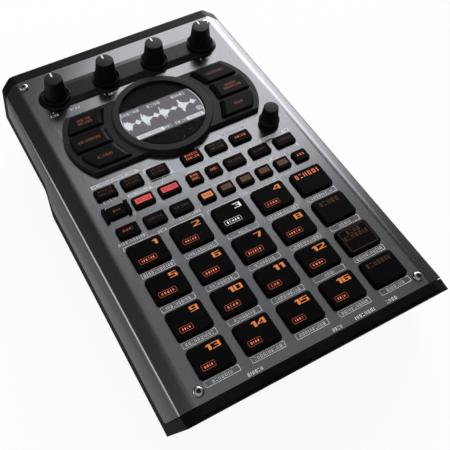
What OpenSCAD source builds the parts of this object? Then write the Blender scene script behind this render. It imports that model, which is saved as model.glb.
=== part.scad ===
// Portable sampler: a grey metal cover in a black case, with pads, keys, knobs and a round display.
// X runs to the right, Y to the rear and Z up. The origin is on the table, under the middle of the case.

/* [Body] */
// Height of the cover's top face above the table
top_z = 52; // [51.5:0.5:56]
// Width across the case at its lowest edge
base_w = 180.4; // [162:0.2:198]
// Depth from the front lip to the rear cap
body_d = 273.3; // [246:0.1:301]
// Outward flare of each side wall, from its shoulder to its foot
side_flare = 4.8; // [2:0.1:6]
// Width of each long chamfer
chamfer_w = 8.4; // [6:0.1:10]
// Drop of the long chamfers
shoulder_drop = 4.2; // [3:0.1:6]
// Reach of the soft fold between the top and each chamfer
top_fold = 2.6; // [1:0.1:3.4]
// Reach of the soft fold between each chamfer and the side below it
side_fold = 1.8; // [0.8:0.1:2.4]
// Set-back of the case's front edge at its foot
front_lean = 14; // [10:0.5:16]
// Depth of the front cap ahead of the cover
front_cap_d = 7; // [6:0.1:9]
// Depth of the rear cap behind the cover
rear_cap_d = 8.3; // [6:0.1:9]
// Wall of the case
case_wall = 2.2; // [1.8:0.1:2.6]
// Thickness of the top cover
cover_t = 2; // [1.6:0.1:2.4]
// Gap between the cover and the case around it
cover_gap = 0.4; // [0.2:0.1:0.8]
// Height of the rubber feet
foot_h = 1.2; // [1:0.1:4]
// Radius of a rubber foot
foot_r = 7; // [5:0.5:8]
// Width of the cut at each rear corner
corner_w = 13; // [8:0.5:14]
// Depth of the cut at each rear corner
corner_d = 8; // [5:0.5:9]

/* [Side line] */
// Height of the case's lower edge at the rear
rim_rear_z = 22; // [21:0.5:24]
// Height of the case's lower edge just ahead of the step
rim_mid_z = 6; // [5:0.5:10]
// Height of the cover's side edge at the rear
skirt_rear_z = 29.5; // [28:0.5:33]
// Height of the cover's side edge just ahead of the step
skirt_mid_z = 15.5; // [13:0.5:18]
// Height of the cover's side edge at the front
skirt_front_z = 10.5; // [9:0.5:13]
// Radius of the cover's lower front corner
skirt_r = 3; // [1:0.5:5]
// Where the step in the side line starts, behind the middle
step_y = 43; // [40:1:48]
// Length of the step in the side line
step_l = 15; // [10:1:18]

/* [Pads] */
// Pad pitch from side to side
pad_pitch_x = 28.4; // [27:0.1:29]
// Pad pitch from front to rear
pad_pitch_y = 24.2; // [23:0.1:24.6]
// Width of a pad
pad_w = 22.3; // [20:0.1:23.5]
// Depth of a pad
pad_d = 18; // [16:0.1:18.6]
// Height of a pad above the cover
pad_h = 2.6; // [1.6:0.1:4]
// Travel of a pad
pad_travel = 1; // [0.5:0.1:1.2]
// From the front lip to the middle of the front row of pads
pad_front = 26.6; // [26.5:0.1:28]
// Corner radius of a pad
pad_r = 2; // [1:0.1:3]

/* [Keys] */
// Width of a wide key
key_w = 14; // [12.5:0.1:15]
// Width of a narrow key
key_narrow_w = 10; // [8:0.1:11]
// Depth of a key
key_d = 8.4; // [7:0.1:9.5]
// Height of a key above the cover
key_h = 2.2; // [1.4:0.1:3]
// Travel of a key
key_travel = 0.6; // [0.3:0.1:0.9]
// Distance between the rows of keys
key_pitch_y = 15.7; // [14.5:0.1:15.9]
// Pitch of the wide keys
key_pitch_x = 18.05; // [17.5:0.05:18.4]
// Pitch of the narrow keys
key_narrow_pitch = 13.72; // [13.2:0.02:13.8]
// From the front lip to the middle of the front row of keys
key_front = 118.9; // [118.2:0.1:120]
// Corner radius of a key
key_r = 1.2; // [0.6:0.1:1.8]
// Thickness of the guard walls beside the first middle key
guard_t = 2.3; // [1.2:0.1:2.6]

/* [Display pod] */
// Width of the pod across its round ends
pod_w = 137; // [134:0.5:140]
// Width of the pod at its corners
pod_corner_w = 119; // [116:0.5:122]
// Depth of the pod
pod_d = 51.2; // [50.6:0.2:54]
// Height of the pod above the cover
pod_h = 3.4; // [3:0.1:4]
// From the front lip to the middle of the pod
pod_front = 190.8; // [190.2:0.1:192]
// Outer radius of the display ring
ring_r = 33.4; // [32.6:0.1:34]
// Height of the display ring above the cover
ring_h = 5.2; // [4.8:0.1:6]
// Radius of the display window
window_r = 28.7; // [27:0.1:29.5]
// Depth of an effect button
fx_d = 13.2; // [11:0.1:14]
// Distance between the rows of effect buttons
fx_pitch = 16.25; // [15.8:0.05:16.4]
// Height of an effect button above the pod
fx_h = 1.9; // [1:0.1:3]
// How far the slope at each effect button's inner end runs out along its top
fx_slope_w = 3; // [2:0.1:4]
// How far that slope drops
fx_slope_h = 1.3; // [0.8:0.1:1.6]
// Radius of the line that the inner ends of the effect buttons follow
fx_inner_r = 39.6; // [38:0.1:42]
// Margin between an effect button's outer end and the pod's edge
fx_margin = 4.2; // [3.8:0.1:5]
// Corner radius of an effect button
fx_corner = 1.2; // [0.6:0.1:1.8]
// Travel of an effect button
fx_travel = 0.8; // [0.4:0.1:1]

/* [Knobs] */
// Distance between the rear knobs
knob_pitch = 37.2; // [35:0.1:38]
// From the rear cap to the row of knobs
knob_rear = 34.3; // [33:0.1:35]
// Radius of a knob at its skirt
knob_skirt_r = 9.6; // [8.5:0.1:10.5]
// Radius of a knob at its top
knob_top_r = 6; // [5:0.1:7]
// Height of a knob's top above the cover
knob_top_h = 18.5; // [16:0.1:20]
// Width of the plinth under the knobs
plinth_w = 136.8; // [134:0.2:140]
// Depth of the plinth under the knobs
plinth_d = 23; // [22:0.2:25]
// Height of the plinth under the knobs
plinth_h = 2; // [1.4:0.1:2.6]
// Width of the plinth's slope
plinth_slope = 5.2; // [2:0.1:6]
// Radius of the encoder knob at its skirt
encoder_r = 6.9; // [6:0.1:7.6]
// Radius of the encoder knob at its top
encoder_top_r = 4.9; // [4.4:0.1:5.4]
// Height of the encoder knob's top above the cover
encoder_top_h = 14.9; // [13:0.1:17]
// Side position of the encoder
encoder_x = 60; // [59:0.1:61]
// From the front lip to the encoder
encoder_front = 153; // [152:0.1:154]
// Push of the encoder
encoder_travel = 0.6; // [0.3:0.1:0.8]
// Radius of the control shafts
shaft_r = 3; // [2.5:0.1:3]
// Radial running clearance of the shafts
shaft_clear = 0.08; // [0.05:0.01:0.1]

/* [Sockets] */
// Bore radius of a quarter-inch socket
socket_r = 3.25; // [3.2:0.01:3.3]
// Collar radius of a quarter-inch socket
collar_r = 5.4; // [5:0.1:5.8]
// Bore radius of a small socket
mini_r = 1.8; // [1.76:0.01:1.85]
// Collar radius of a small socket
mini_collar_r = 3.2; // [2.8:0.1:3.6]
// Bore radius of the power inlet
inlet_r = 2.8; // [2.6:0.05:3]
// Depth of the socket bores
socket_depth = 18; // [14:0.5:19]
// Radius of the input level knob
gain_r = 5.4; // [4.5:0.1:6]
// Throw of the slide switches
switch_throw = 4; // [3:0.1:4.5]

/* [Inside] */
// Thickness of the circuit boards
board_t = 1.6; // [1.2:0.1:1.8]
// Height of the main board's upper face above the table
main_board_z = 26; // [25.9:0.1:26.4]
// Thickness of the rubber key mat
mat_t = 3; // [2:0.1:3.2]
// Width of the battery bay
bay_w = 106; // [104:0.5:108]
// Depth of the battery bay, front to rear
bay_d = 48; // [46:0.5:52]
// From the front lip to the front of the battery bay
bay_front = 74; // [73:0.5:78]
// Inner height of the battery bay
bay_h = 15.2; // [14.8:0.1:15.4]
// Thickness of the battery door
door_t = 1.9; // [1.6:0.1:2]

/* [Hidden] */
$fn = 64;
clear = 0.25;
// Width and depth of the case that the panel below is drawn for, and its stretch to the case above
layout_w = 180.4;
layout_d = 273.3;
stretch_x = base_w / layout_w;
stretch_y = body_d / layout_d;
stretch_r = min(stretch_x, stretch_y);
shoulder_w = base_w - 2 * side_flare;
// Half the width of the recess under the lip
recess_half_w = shoulder_w / 2 - 3.5;
flat_w = shoulder_w - 2 * chamfer_w;
front_y = -body_d / 2;
rear_y = body_d / 2;
cover_front_y = front_y + front_cap_d;
cover_rear_y = rear_y - rear_cap_d;
cover_screw_inset = 6.2 * stretch_y;
shoulder_z = top_z - shoulder_drop;
cover_under_z = top_z - cover_t;
pod_y = front_y + pod_front * stretch_y;
knob_y = rear_y - knob_rear * stretch_y;
encoder_y = front_y + encoder_front * stretch_y;
encoder_spot_x = encoder_x * stretch_x;
inner_inset = cover_t + case_wall;
flange_top_z = cover_under_z - 0.3;
flange_z = flange_top_z - 2.2;
flange_grow = 0.8;
mat_top_z = flange_z - pad_travel - 0.3;
board_top_z = mat_top_z - mat_t;
board_rear_y = cover_rear_y - cover_screw_inset - 4.8;
lip_under_z = top_z - 8;
recess_back_y = front_y + 18.3;
front_wall_in_y = recess_back_y + case_wall;
rear_wall_in_y = rear_y - case_wall;
opening_front_y = front_y + (pad_front - pad_d / 2) * stretch_y - flange_grow - 0.2;
opening_rear_y = cover_rear_y - 3;
opening_half_w = flat_w / 2 - 2;
board_half_w = opening_half_w - 1;
floor_t = 2.4;
floor_top_z = foot_h + floor_t;
floor_half_w = half_w(foot_h) - inner_inset - 0.6;
shelf_top_z = rim_rear_z + 1.5;
shelf_t = 2.2;
shelf_half_w = half_w(shelf_top_z) - inner_inset - 0.5;
step_start_y = step_y * stretch_y;
step_wall_y = step_start_y - 3;
tub_half_w = flat_w / 2 - 1;
main_half_w = tub_half_w - 9;
tub_wall = 2.2;
tub_rear_y = rear_wall_in_y - 3.1;
socket_z = main_board_z + 7.5;
body_tall = 14.5;
boss_x = shoulder_w / 2 - 5.7;
boss_r = 4;
boss_top_z = board_top_z - board_t - 1.5;
screw_r = 1.4;
screw_hole_r = 1.55;
screw_clear_r = 1.7;
screw_head_r = 3;
cover_screw_x = flat_w / 2 - 5;
mat_half_w = cover_screw_x - 2.2;
cover_screw_ys = [cover_front_y + cover_screw_inset, cover_rear_y - cover_screw_inset];
rear_split_y = cover_screw_ys[1] - 4.5;
stud_ys = [for (y = [37, 137, 227]) front_y + y * stretch_y];
pod_fit_w = pod_w * stretch_x;
pod_fit_corner_w = pod_corner_w * stretch_x;
pod_fit_d = pod_d * stretch_y;
pod_sag = (pod_fit_w - pod_fit_corner_w) / 2;
pod_arc_r = (pow(pod_fit_d / 2, 2) + pow(pod_sag, 2)) / (2 * pod_sag);
pod_arc_x = pod_fit_w / 2 - pod_arc_r;
ring_fit_r = ring_r * stretch_r;
window_fit_r = window_r * stretch_r;
fx_fit_inner_r = fx_inner_r * stretch_r;
fx_fit_d = fx_d * stretch_y;
fx_fit_pitch = fx_pitch * stretch_y;
fx_middle_x = 50 * stretch_x;
lens_t = 1.3;
lens_lip = 0.5;
lens_z = top_z + ring_h - lens_lip - lens_t;
lens_r = window_fit_r + 1.2;
fx_base_z = cover_under_z - 1.5;
fx_grow = 0.9;
bush_r = 4;
bay_y0 = front_y + bay_front * stretch_y;
bay_y1 = bay_y0 + bay_d;
bay_z0 = foot_h + 2;
bay_wall = 1.6;
bay_collar = 7;
door_w = bay_w + 1;
door_flange = 1.5;
door_ledge = 0.8;
door_y1 = bay_y1 + 1;
key_rows = [for (i = [0:2]) front_y + (key_front + i * key_pitch_y) * stretch_y];
pad_fit_w = pad_w * stretch_x;
pad_fit_d = pad_d * stretch_y;
key_fit_w = key_w * stretch_x;
key_fit_narrow_w = key_narrow_w * stretch_x;
key_fit_d = key_d * stretch_y;
key_fit_pitch = key_pitch_x * stretch_x;
key_fit_narrow_pitch = key_narrow_pitch * stretch_x;
key_right_pitch = (key_w + 4.7) * stretch_x;
key_left_x = -60.5 * stretch_x;
key_bank_x = -6.5 * stretch_x;
guard_w = key_fit_w + 3;
guard_h = 3;
guarded_key_w = guard_w - 2 * guard_t - 0.6;
gain_x = 12.3 * stretch_x;
selector_x = 31 * stretch_x;
front_quarter_xs = [-49 * stretch_x, 49.4 * stretch_x];
front_mini_x = -32 * stretch_x;
rear_quarter_xs = [for (x = [-60, -42, -22, -4]) x * stretch_x];
rear_mini_xs = [14 * stretch_x, 26 * stretch_x];
usb_x = 38 * stretch_x;
inlet_x = 52 * stretch_x;
power_x = 66.5 * stretch_x;
lever_w = 4;
lever_h = 4;
switch_room = 3;
boss_front_ys = [front_y + 32 * stretch_y, front_y + 160 * stretch_y];
boss_rear_ys = [front_y + 210 * stretch_y, front_y + 248 * stretch_y];
post_x = main_half_w - 3;
board_post_spots = [for (x = [-post_x, post_x], y = [30, 147, 254]) [x, front_y + y * stretch_y]];
foot_spots = [for (side = [-1, 1], spot = [[boss_x - 7.5, 45], [tub_half_w - 14, 242]])
    [side * spot[0], front_y + spot[1] * stretch_y]];
fx_spots = [[-1, 1], [-1, 0], [-1, -1], [1, 1], [1, 0], [1, -1]];
key_groups = ["keys_left_rear", "keys_right_rear", "keys_left_middle",
    "keys_right_middle", "keys_left_front", "keys_right_front"];

// Half width of the body's outside at a height
function half_w(z) = (shoulder_w + (base_w - shoulder_w) * (shoulder_z - z) / (shoulder_z - foot_h)) / 2;
// Smooth step from one height to another along Y
function s_line(y0, z0, y1, z1) =
    [for (i = [0:8]) let (t = i / 8) [y0 + (y1 - y0) * t, z0 + (z1 - z0) * t * t * (3 - 2 * t)]];
// Front edge of a side at a height, leaning back towards the foot
function front_edge(y, z) = y + front_lean * (top_z - z) / (top_z - foot_h);
// Which row of keys a group is in, counted from the front
function key_row(name) =
    name == "keys_left_front" || name == "keys_right_front" ? 0
    : name == "keys_left_middle" || name == "keys_right_middle" ? 1
    : 2;
// Side positions and widths of the keys in a group
function keys_of(name) =
    name == "keys_right_rear" ? [for (i = [0:2]) [i * key_fit_pitch, key_fit_w]]
    : name == "keys_right_middle" ? concat(
        [for (i = [0:1]) [key_bank_x + i * key_fit_narrow_pitch, key_fit_narrow_w]],
        [for (i = [2:-1:0]) [encoder_spot_x - i * key_right_pitch, key_fit_w]])
    : name == "keys_right_front" ? [for (i = [0:5]) [key_bank_x + i * key_fit_narrow_pitch, key_fit_narrow_w]]
    : [for (i = [0:2])
        [key_left_x + i * key_fit_pitch, name == "keys_left_middle" && i == 0 ? guarded_key_w : key_fit_w]];
// Middle of a pad, by column from the left and row from the rear
function pad_spot(column, row) =
    [(column - 2) * pad_pitch_x * stretch_x, front_y + (pad_front + (3 - row) * pad_pitch_y) * stretch_y];
// Side position of a rear knob
function knob_x(i) = (i - 2.5) * knob_pitch * stretch_x;
// Outer face of the front or rear wall
function wall_y(side) = side < 0 ? recess_back_y : rear_y;

// A corner b between a and c, rounded over a reach along both its sides
function eased(a, b, c, reach) =
    let (p = b + reach * (a - b) / norm(a - b), q = b + reach * (c - b) / norm(c - b))
    [for (i = [0:5]) let (t = i / 5) (1 - t) * (1 - t) * p + 2 * t * (1 - t) * b + t * t * q];

// Rounded rectangle
module soft_rect(w, d, r) {
    square([w - 2 * r, d], center = true);
    square([w, d - 2 * r], center = true);
    for (x = [-1, 1], y = [-1, 1])
        translate([x * (w / 2 - r), y * (d / 2 - r)])
            circle(r, $fn = 32);
}

// A block centred on X and Y, standing on a height
module block(x, y, z, w, d, h) {
    translate([x - w / 2, y - d / 2, z])
        cube([w, d, h]);
}

// Cross-section of the body along Y, with soft folds outside, or drawn inward by an inset
module section(inset, y0, y1) {
    upper = top_z - inset;
    lower = foot_h - 6;
    mid = min(shoulder_z - inset * 0.6, upper - 0.2);
    half_top = flat_w / 2 - inset * 0.25;
    half_mid = half_w(mid) - inset;
    half_low = half_w(lower) - inset;
    foot = [half_low, lower];
    shoulder = [half_mid, mid];
    brow = [half_top, upper];
    middle = [0, upper];
    right = inset > 0 ? [foot, shoulder, brow]
        : concat([foot], eased(foot, shoulder, brow, side_fold), eased(shoulder, brow, middle, top_fold));
    left = [for (i = [len(right) - 1:-1:0]) [-right[i][0], right[i][1]]];
    translate([0, y1, 0])
        rotate([90, 0, 0])
            linear_extrude(y1 - y0)
                polygon(concat(right, left));
}

// A side outline, drawn across the whole width
module across(points) {
    translate([-base_w, 0, 0])
        rotate([90, 0, 90])
            linear_extrude(2 * base_w)
                polygon(points);
}

// Plan outline with the two cut rear corners, which can be cut deeper
module plan(y1, deeper = 0) {
    half = base_w / 2 + 0.5;
    corner_x = half - corner_w - deeper * corner_w / corner_d;
    corner_y = y1 - corner_d - deeper;
    translate([0, 0, -5])
        linear_extrude(top_z + 12)
            polygon([[-half, front_y - 5], [half, front_y - 5], [half, corner_y], [corner_x, y1],
                     [-corner_x, y1], [-half, corner_y]]);
}

// Outside of the black case
module case_outside() {
    intersection() {
        section(0, front_y - 1, rear_y + 1);
        across(concat(
            [[front_y + 1.2, top_z], [rear_y, top_z], [rear_y, rim_rear_z + 1]],
            s_line(step_start_y + step_l, rim_rear_z, step_start_y, rim_mid_z),
            [[front_edge(front_y, foot_h), foot_h], [front_y, top_z - 4], [front_y, top_z - 1.2]]));
        plan(rear_y);
    }
}

// Side outline of the cover, with a gap around it where it is cut from the case
module cover_sides(gap) {
    low = skirt_front_z - gap;
    corner_y = front_edge(cover_front_y - gap, low + skirt_r) + skirt_r;
    across(concat(
        [[front_edge(cover_front_y - gap, top_z + 2), top_z + 2], [rear_y + 3, top_z + 2],
         [rear_y + 3, skirt_rear_z + 1.5 - gap]],
        s_line(step_start_y + step_l, skirt_rear_z - gap, step_start_y, skirt_mid_z - gap),
        [for (a = [270:-15:180]) [corner_y + skirt_r * cos(a), low + skirt_r + skirt_r * sin(a)]]));
}

// Outline of an effect button, grown or shrunk all round
module fx_outline(side, row, grow) {
    offset(r = fx_corner + grow, $fn = 32)
        offset(delta = -fx_corner - grow)
            difference() {
                intersection() {
                    translate([side * pod_arc_x, 0])
                        circle(pod_arc_r - fx_margin + grow, $fn = 128);
                    translate([side * fx_middle_x, row * fx_fit_pitch])
                        square([pod_fit_w / 2, fx_fit_d + 2 * grow], center = true);
                }
                circle(fx_fit_inner_r - grow, $fn = 128);
            }
}

// Outline of the display pod
module pod_outline() {
    square([pod_fit_corner_w, pod_fit_d], center = true);
    for (side = [-1, 1])
        intersection() {
            translate([side * pod_arc_x, 0])
                circle(pod_arc_r, $fn = 128);
            square([pod_fit_w, pod_fit_d], center = true);
        }
}

// One button through the cover, with the flange that keeps it under the sheet
module cover_button(x, y, w, d, r, h) {
    translate([x, y, flange_top_z - 0.01])
        linear_extrude(top_z + h - flange_top_z + 0.01)
            soft_rect(w, d, r);
    block(x, y, flange_z, w + 2 * flange_grow, d + 2 * flange_grow, flange_top_z - flange_z);
}

// A turned knob with a flared skirt
module knob_shape(z0, z1, skirt, top) {
    h = z1 - z0;
    waist = top + 1.3;
    rotate_extrude()
        polygon(concat(
            [[0, z0], [skirt - 0.3, z0], [skirt, z0 + 0.3]],
            [for (i = [0:5]) let (t = i / 5)
                [waist + (skirt - 0.15 - waist) * pow(1 - t, 2), z0 + h * (0.06 + 0.26 * t)]],
            [[top + 0.1, z1 - 0.4], [top - 0.3, z1], [0, z1]]));
}

// Puts its children on a wall of the case, with their Z axis pointing out of it
module on_wall(side, x) {
    translate([x, wall_y(side), socket_z])
        rotate([90, 0, side > 0 ? 180 : 0])
            children();
}

// The housing of a socket, pot or switch behind a wall, standing on the main board
module wall_housing(w, depth, tall) {
    translate([-w / 2, main_board_z - socket_z, -case_wall - 0.2 - depth])
        cube([w, tall, depth]);
}

// A round socket: housing, collar through the wall and bore
module round_socket(w, collar, bore) {
    difference() {
        union() {
            wall_housing(w, socket_depth + 3, body_tall);
            translate([0, 0, -case_wall - 1])
                cylinder(r = collar, h = case_wall + 1);
        }
        translate([0, 0, -socket_depth])
            cylinder(r = bore, h = socket_depth + 1);
    }
}

// A slide switch's housing, with room for the lever's foot
module switch_housing() {
    difference() {
        wall_housing(switch_throw + lever_w + 5, 8, body_tall);
        translate([0, 0, -case_wall - 0.2])
            cube([switch_throw + lever_w + 0.6, lever_h + 0.6, 2 * switch_room], center = true);
    }
}

// A slide switch's lever, standing at one end of its throw
module switch_lever(reach) {
    foot = -case_wall - switch_room + 0.1;
    translate([-switch_throw / 2 - lever_w / 2, -lever_h / 2, foot])
        cube([lever_w, lever_h, reach - foot]);
}

// Holes in a wall for what passes through it
module wall_hole(side, x, r) {
    on_wall(side, x)
        translate([0, 0, -case_wall - 2])
            cylinder(r = r + clear, h = case_wall + 4);
}

// A slot in a wall
module wall_slot(side, x, w, h) {
    on_wall(side, x)
        cube([w, h, 3 * case_wall], center = true);
}

// A potentiometer or encoder body, standing on the panel board under its hole
module control_body(x, y, bush_top) {
    translate([x, y, board_top_z])
        difference() {
            union() {
                block(0, 0, 0, 12, 12, cover_under_z - board_top_z - 0.6);
                cylinder(r = bush_r, h = bush_top - board_top_z);
            }
            translate([0, 0, 0.8])
                cylinder(r = shaft_r + shaft_clear, h = bush_top - board_top_z);
        }
}

// Black plastic shell: front lip and recess, side rims, rear cap and the walls for the sockets
module case_shell() {
    difference() {
        union() {
            difference() {
                case_outside();
                difference() {
                    intersection() {
                        section(-2, cover_front_y - cover_gap, cover_rear_y + cover_gap);
                        cover_sides(cover_gap);
                        plan(cover_rear_y + cover_gap);
                    }
                    section(cover_t + 0.1, front_y - 3, rear_y + 3);
                }
                intersection() {
                    section(inner_inset, front_wall_in_y, rear_wall_in_y);
                    plan(rear_y, 1.2 * case_wall);
                }
                translate([-opening_half_w, opening_front_y, lip_under_z + 1])
                    cube([2 * opening_half_w, opening_rear_y - opening_front_y, 12]);
                translate([-recess_half_w, front_y - 1, foot_h - 4])
                    cube([2 * recess_half_w, recess_back_y - front_y + 1, lip_under_z - foot_h + 4]);
            }
            intersection() {
                section(cover_t + 0.5, front_y, rear_y);
                for (side = [-1, 1]) {
                    for (y = boss_front_ys) case_boss(side, y, floor_top_z);
                    for (y = boss_rear_ys) case_boss(side, y, shelf_top_z);
                }
            }
            for (side = [-1, 1])
                translate([side * cover_screw_x, cover_screw_ys[1], 0]) {
                    translate([0, 0, lip_under_z - 3])
                        cylinder(r = 3.4, h = cover_under_z - 0.1 - lip_under_z + 3);
                    translate([-2, 0, lip_under_z - 1])
                        cube([4, rear_wall_in_y - cover_screw_ys[1] + 0.5, cover_under_z - lip_under_z - 0.2]);
                }
        }
        for (x = [-1, 1], y = cover_screw_ys)
            translate([x * cover_screw_x, y, lip_under_z - 4])
                cylinder(r = screw_hole_r, h = 20);
        for (x = [-1, 1], y = concat(boss_front_ys, boss_rear_ys))
            translate([x * boss_x, y, foot_h - 1])
                cylinder(r = screw_hole_r, h = shelf_top_z + 8);
        for (x = front_quarter_xs) wall_hole(-1, x, collar_r);
        wall_hole(-1, front_mini_x, mini_collar_r);
        wall_hole(-1, gain_x, bush_r);
        wall_slot(-1, selector_x, switch_throw + lever_w + 0.6, lever_h + 0.6);
        for (x = rear_quarter_xs) wall_hole(1, x, collar_r);
        for (x = rear_mini_xs) wall_hole(1, x, mini_collar_r);
        wall_hole(1, inlet_x, collar_r - 0.4);
        wall_slot(1, usb_x, 10, 4.2);
        wall_slot(1, power_x, switch_throw + lever_w + 0.6, lever_h + 0.6);
        block(0, recess_back_y + case_wall / 2, foot_h - 1, door_w + 2 * door_flange + 2 * clear, 4 * case_wall,
              door_t + 1.4);
    }
}

// Everything ahead of the front wall's inner face, where the shell is split
module front_half_space() {
    translate([-base_w, front_y - 5, -5])
        cube([2 * base_w, front_wall_in_y - front_y + 5, top_z + 10]);
}

// Everything behind the rear cover screws' posts, where the shell is split again
module rear_half_space() {
    translate([-base_w, rear_split_y, -5])
        cube([2 * base_w, rear_y - rear_split_y + 5, top_z + 10]);
}

// The space of the recess's two cheeks under the lip, which belong to the side rails
module cheek_space() {
    for (left = [-base_w, recess_half_w])
        translate([left, front_y - 6, -6])
            cube([base_w - recess_half_w, front_wall_in_y - front_y + 7, lip_under_z + 6]);
}

// Side rims of the shell, with the recess's cheeks and the bosses for the case screws
module side_rails() {
    color("#18181a")
    difference() {
        case_shell();
        difference() {
            front_half_space();
            cheek_space();
        }
        rear_half_space();
    }
}

// Rear moulding of the shell, with the wall for the rear sockets
module rear_cap() {
    color("#18181a")
    intersection() {
        case_shell();
        rear_half_space();
    }
}

// Front moulding of the shell, with the lip over the recess and the wall for the front sockets
module front_cap() {
    color("#18181a")
    difference() {
        intersection() {
            case_shell();
            front_half_space();
        }
        cheek_space();
    }
}

// A post for a case screw, tied to the side wall
module case_boss(side, y, z0) {
    translate([side * boss_x, y, z0 + 0.1]) {
        cylinder(r = boss_r, h = boss_top_z - z0);
        translate([side > 0 ? 0 : -12, -1, 0])
            cube([12, 2, boss_top_z - z0]);
    }
}

// Bottom of the case: front floor, deeper rear tub with its shelf, and the battery bay
module lower_case() {
    color("#1b1b1d")
    difference() {
        union() {
            translate([-floor_half_w, front_wall_in_y + clear, foot_h])
                cube([2 * floor_half_w, step_wall_y + tub_wall - front_wall_in_y - clear, floor_t]);
            difference() {
                union() {
                    translate([-shelf_half_w, step_wall_y, foot_h])
                        cube([2 * shelf_half_w, tub_wall, shelf_top_z - foot_h]);
                    translate([-tub_half_w, step_wall_y, foot_h])
                        cube([2 * tub_half_w, tub_rear_y - step_wall_y, shelf_top_z - foot_h]);
                    intersection() {
                        translate([-shelf_half_w, step_wall_y, shelf_top_z - shelf_t])
                            cube([2 * shelf_half_w, rear_wall_in_y - clear - step_wall_y, shelf_t]);
                        plan(rear_y, 1.2 * case_wall + 0.6);
                    }
                }
                translate([-tub_half_w + tub_wall, step_wall_y - 1, floor_top_z])
                    cube([2 * (tub_half_w - tub_wall), tub_rear_y - tub_wall - step_wall_y + 1, 60]);
            }
            translate([-bay_w / 2 - bay_collar, front_wall_in_y + clear, floor_top_z - 0.01])
                cube([bay_w + 2 * bay_collar, bay_y1 + bay_collar - front_wall_in_y, 1.6]);
            translate([-bay_w / 2 - bay_wall, bay_y0 - bay_wall, floor_top_z])
                cube([bay_w + 2 * bay_wall, bay_d + 2 * bay_wall, bay_z0 + bay_h + bay_wall - floor_top_z]);
            for (p = board_post_spots)
                translate([p[0], p[1], foot_h + 1])
                    cylinder(r = 3, h = main_board_z - board_t - foot_h - 1);
        }
        translate([-bay_w / 2, bay_y0, foot_h - 1])
            cube([bay_w, bay_d, bay_z0 + bay_h - foot_h + 1]);
        translate([-door_w / 2 - clear, front_y, foot_h - 1])
            cube([door_w + 2 * clear, door_y1 + clear - front_y, floor_t + 1]);
        translate([-door_w / 2 - door_flange - clear, front_y, foot_h + door_ledge])
            cube([door_w + 2 * door_flange + 2 * clear, door_y1 + clear - front_y, floor_t - door_ledge]);
        for (x = [-1, 1], y = boss_front_ys)
            translate([x * boss_x, y, foot_h - 1]) {
                cylinder(r = screw_clear_r, h = 10);
                cylinder(r = screw_head_r + 0.3, h = 2.4);
            }
        for (x = [-1, 1], y = boss_rear_ys)
            translate([x * boss_x, y, foot_h])
                cylinder(r = screw_clear_r, h = 40);
    }
}

// Folded metal cover with the openings for everything on the panel, and its studs for the panel board
module top_cover() {
    color("#8b8c90") {
        difference() {
            intersection() {
                section(0, cover_front_y, cover_rear_y);
                cover_sides(0);
                plan(cover_rear_y);
            }
            section(cover_t, front_y, rear_y);
            translate([0, 0, cover_under_z - 4])
                linear_extrude(12)
                    cover_openings();
        }
        for (x = [-1, 1], y = stud_ys)
            translate([x * cover_screw_x, y, board_top_z])
                cylinder(r = 1.8, h = cover_under_z + 0.4 - board_top_z);
    }
}

// Everything cut through the cover's flat top
module cover_openings() {
    for (column = [0:4], row = [0:3])
        translate(pad_spot(column, row))
            soft_rect(pad_fit_w + 2 * clear, pad_fit_d + 2 * clear, pad_r + clear);
    for (name = key_groups)
        for (k = keys_of(name))
            translate([k[0], key_rows[key_row(name)]])
                soft_rect(k[1] + 2 * clear, key_fit_d + 2 * clear, key_r + clear);
    translate([0, pod_y]) {
        circle(window_fit_r + 2.6);
        for (s = fx_spots) fx_outline(s[0], s[1], fx_grow + 0.4);
        for (side = [-1, 1])
            translate([side * fx_middle_x, 0])
                square([14 * stretch_x, 2 * fx_fit_pitch + 4], center = true);
    }
    for (i = [1:4])
        translate([knob_x(i), knob_y])
            circle(bush_r + clear);
    translate([encoder_spot_x, encoder_y])
        circle(bush_r + clear);
    for (x = [-1, 1], y = cover_screw_ys)
        translate([x * cover_screw_x, y])
            circle(screw_clear_r, $fn = 32);
}

// Raised black strip that the four rear knobs stand on
module knob_plinth() {
    edge = plinth_d * stretch_y / 2;
    half = plinth_w * stretch_x / 2 - edge;
    color("#202022")
    difference() {
        union() {
            translate([half, knob_y + 0.9, top_z])
                rotate([90, 0, -90])
                    linear_extrude(2 * half)
                        polygon([[-edge, 0], [edge, 0], [edge - plinth_slope, plinth_h],
                                 [plinth_slope - edge, plinth_h]]);
            for (side = [-1, 1])
                translate([side * half, knob_y + 0.9, top_z])
                    cylinder(r1 = edge, r2 = edge - plinth_slope, h = plinth_h);
        }
        for (i = [1:4])
            translate([knob_x(i), knob_y, top_z - 1])
                cylinder(r = bush_r + clear, h = plinth_h + 2);
    }
}

// Black pod with the raised ring, the lens seat and the openings for the effect buttons
module display_pod() {
    color("#141416")
    translate([0, pod_y, top_z])
        difference() {
            union() {
                linear_extrude(pod_h)
                    pod_outline();
                cylinder(r1 = ring_fit_r + 0.6, r2 = ring_fit_r, h = ring_h, $fn = 128);
            }
            translate([0, 0, -1])
                cylinder(r = window_fit_r, h = ring_h + 2, $fn = 128);
            translate([0, 0, -1])
                cylinder(r = lens_r + 0.1, h = lens_z + lens_t - top_z + 1, $fn = 128);
            translate([0, 0, -1])
                linear_extrude(ring_h + 2)
                    for (s = fx_spots) fx_outline(s[0], s[1], clear);
        }
}

// Round clear lens, seated against the ring from below
module display_lens() {
    color("#0c0c0e")
    translate([0, pod_y, lens_z])
        cylinder(r = lens_r, h = lens_t, $fn = 128);
}

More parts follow.
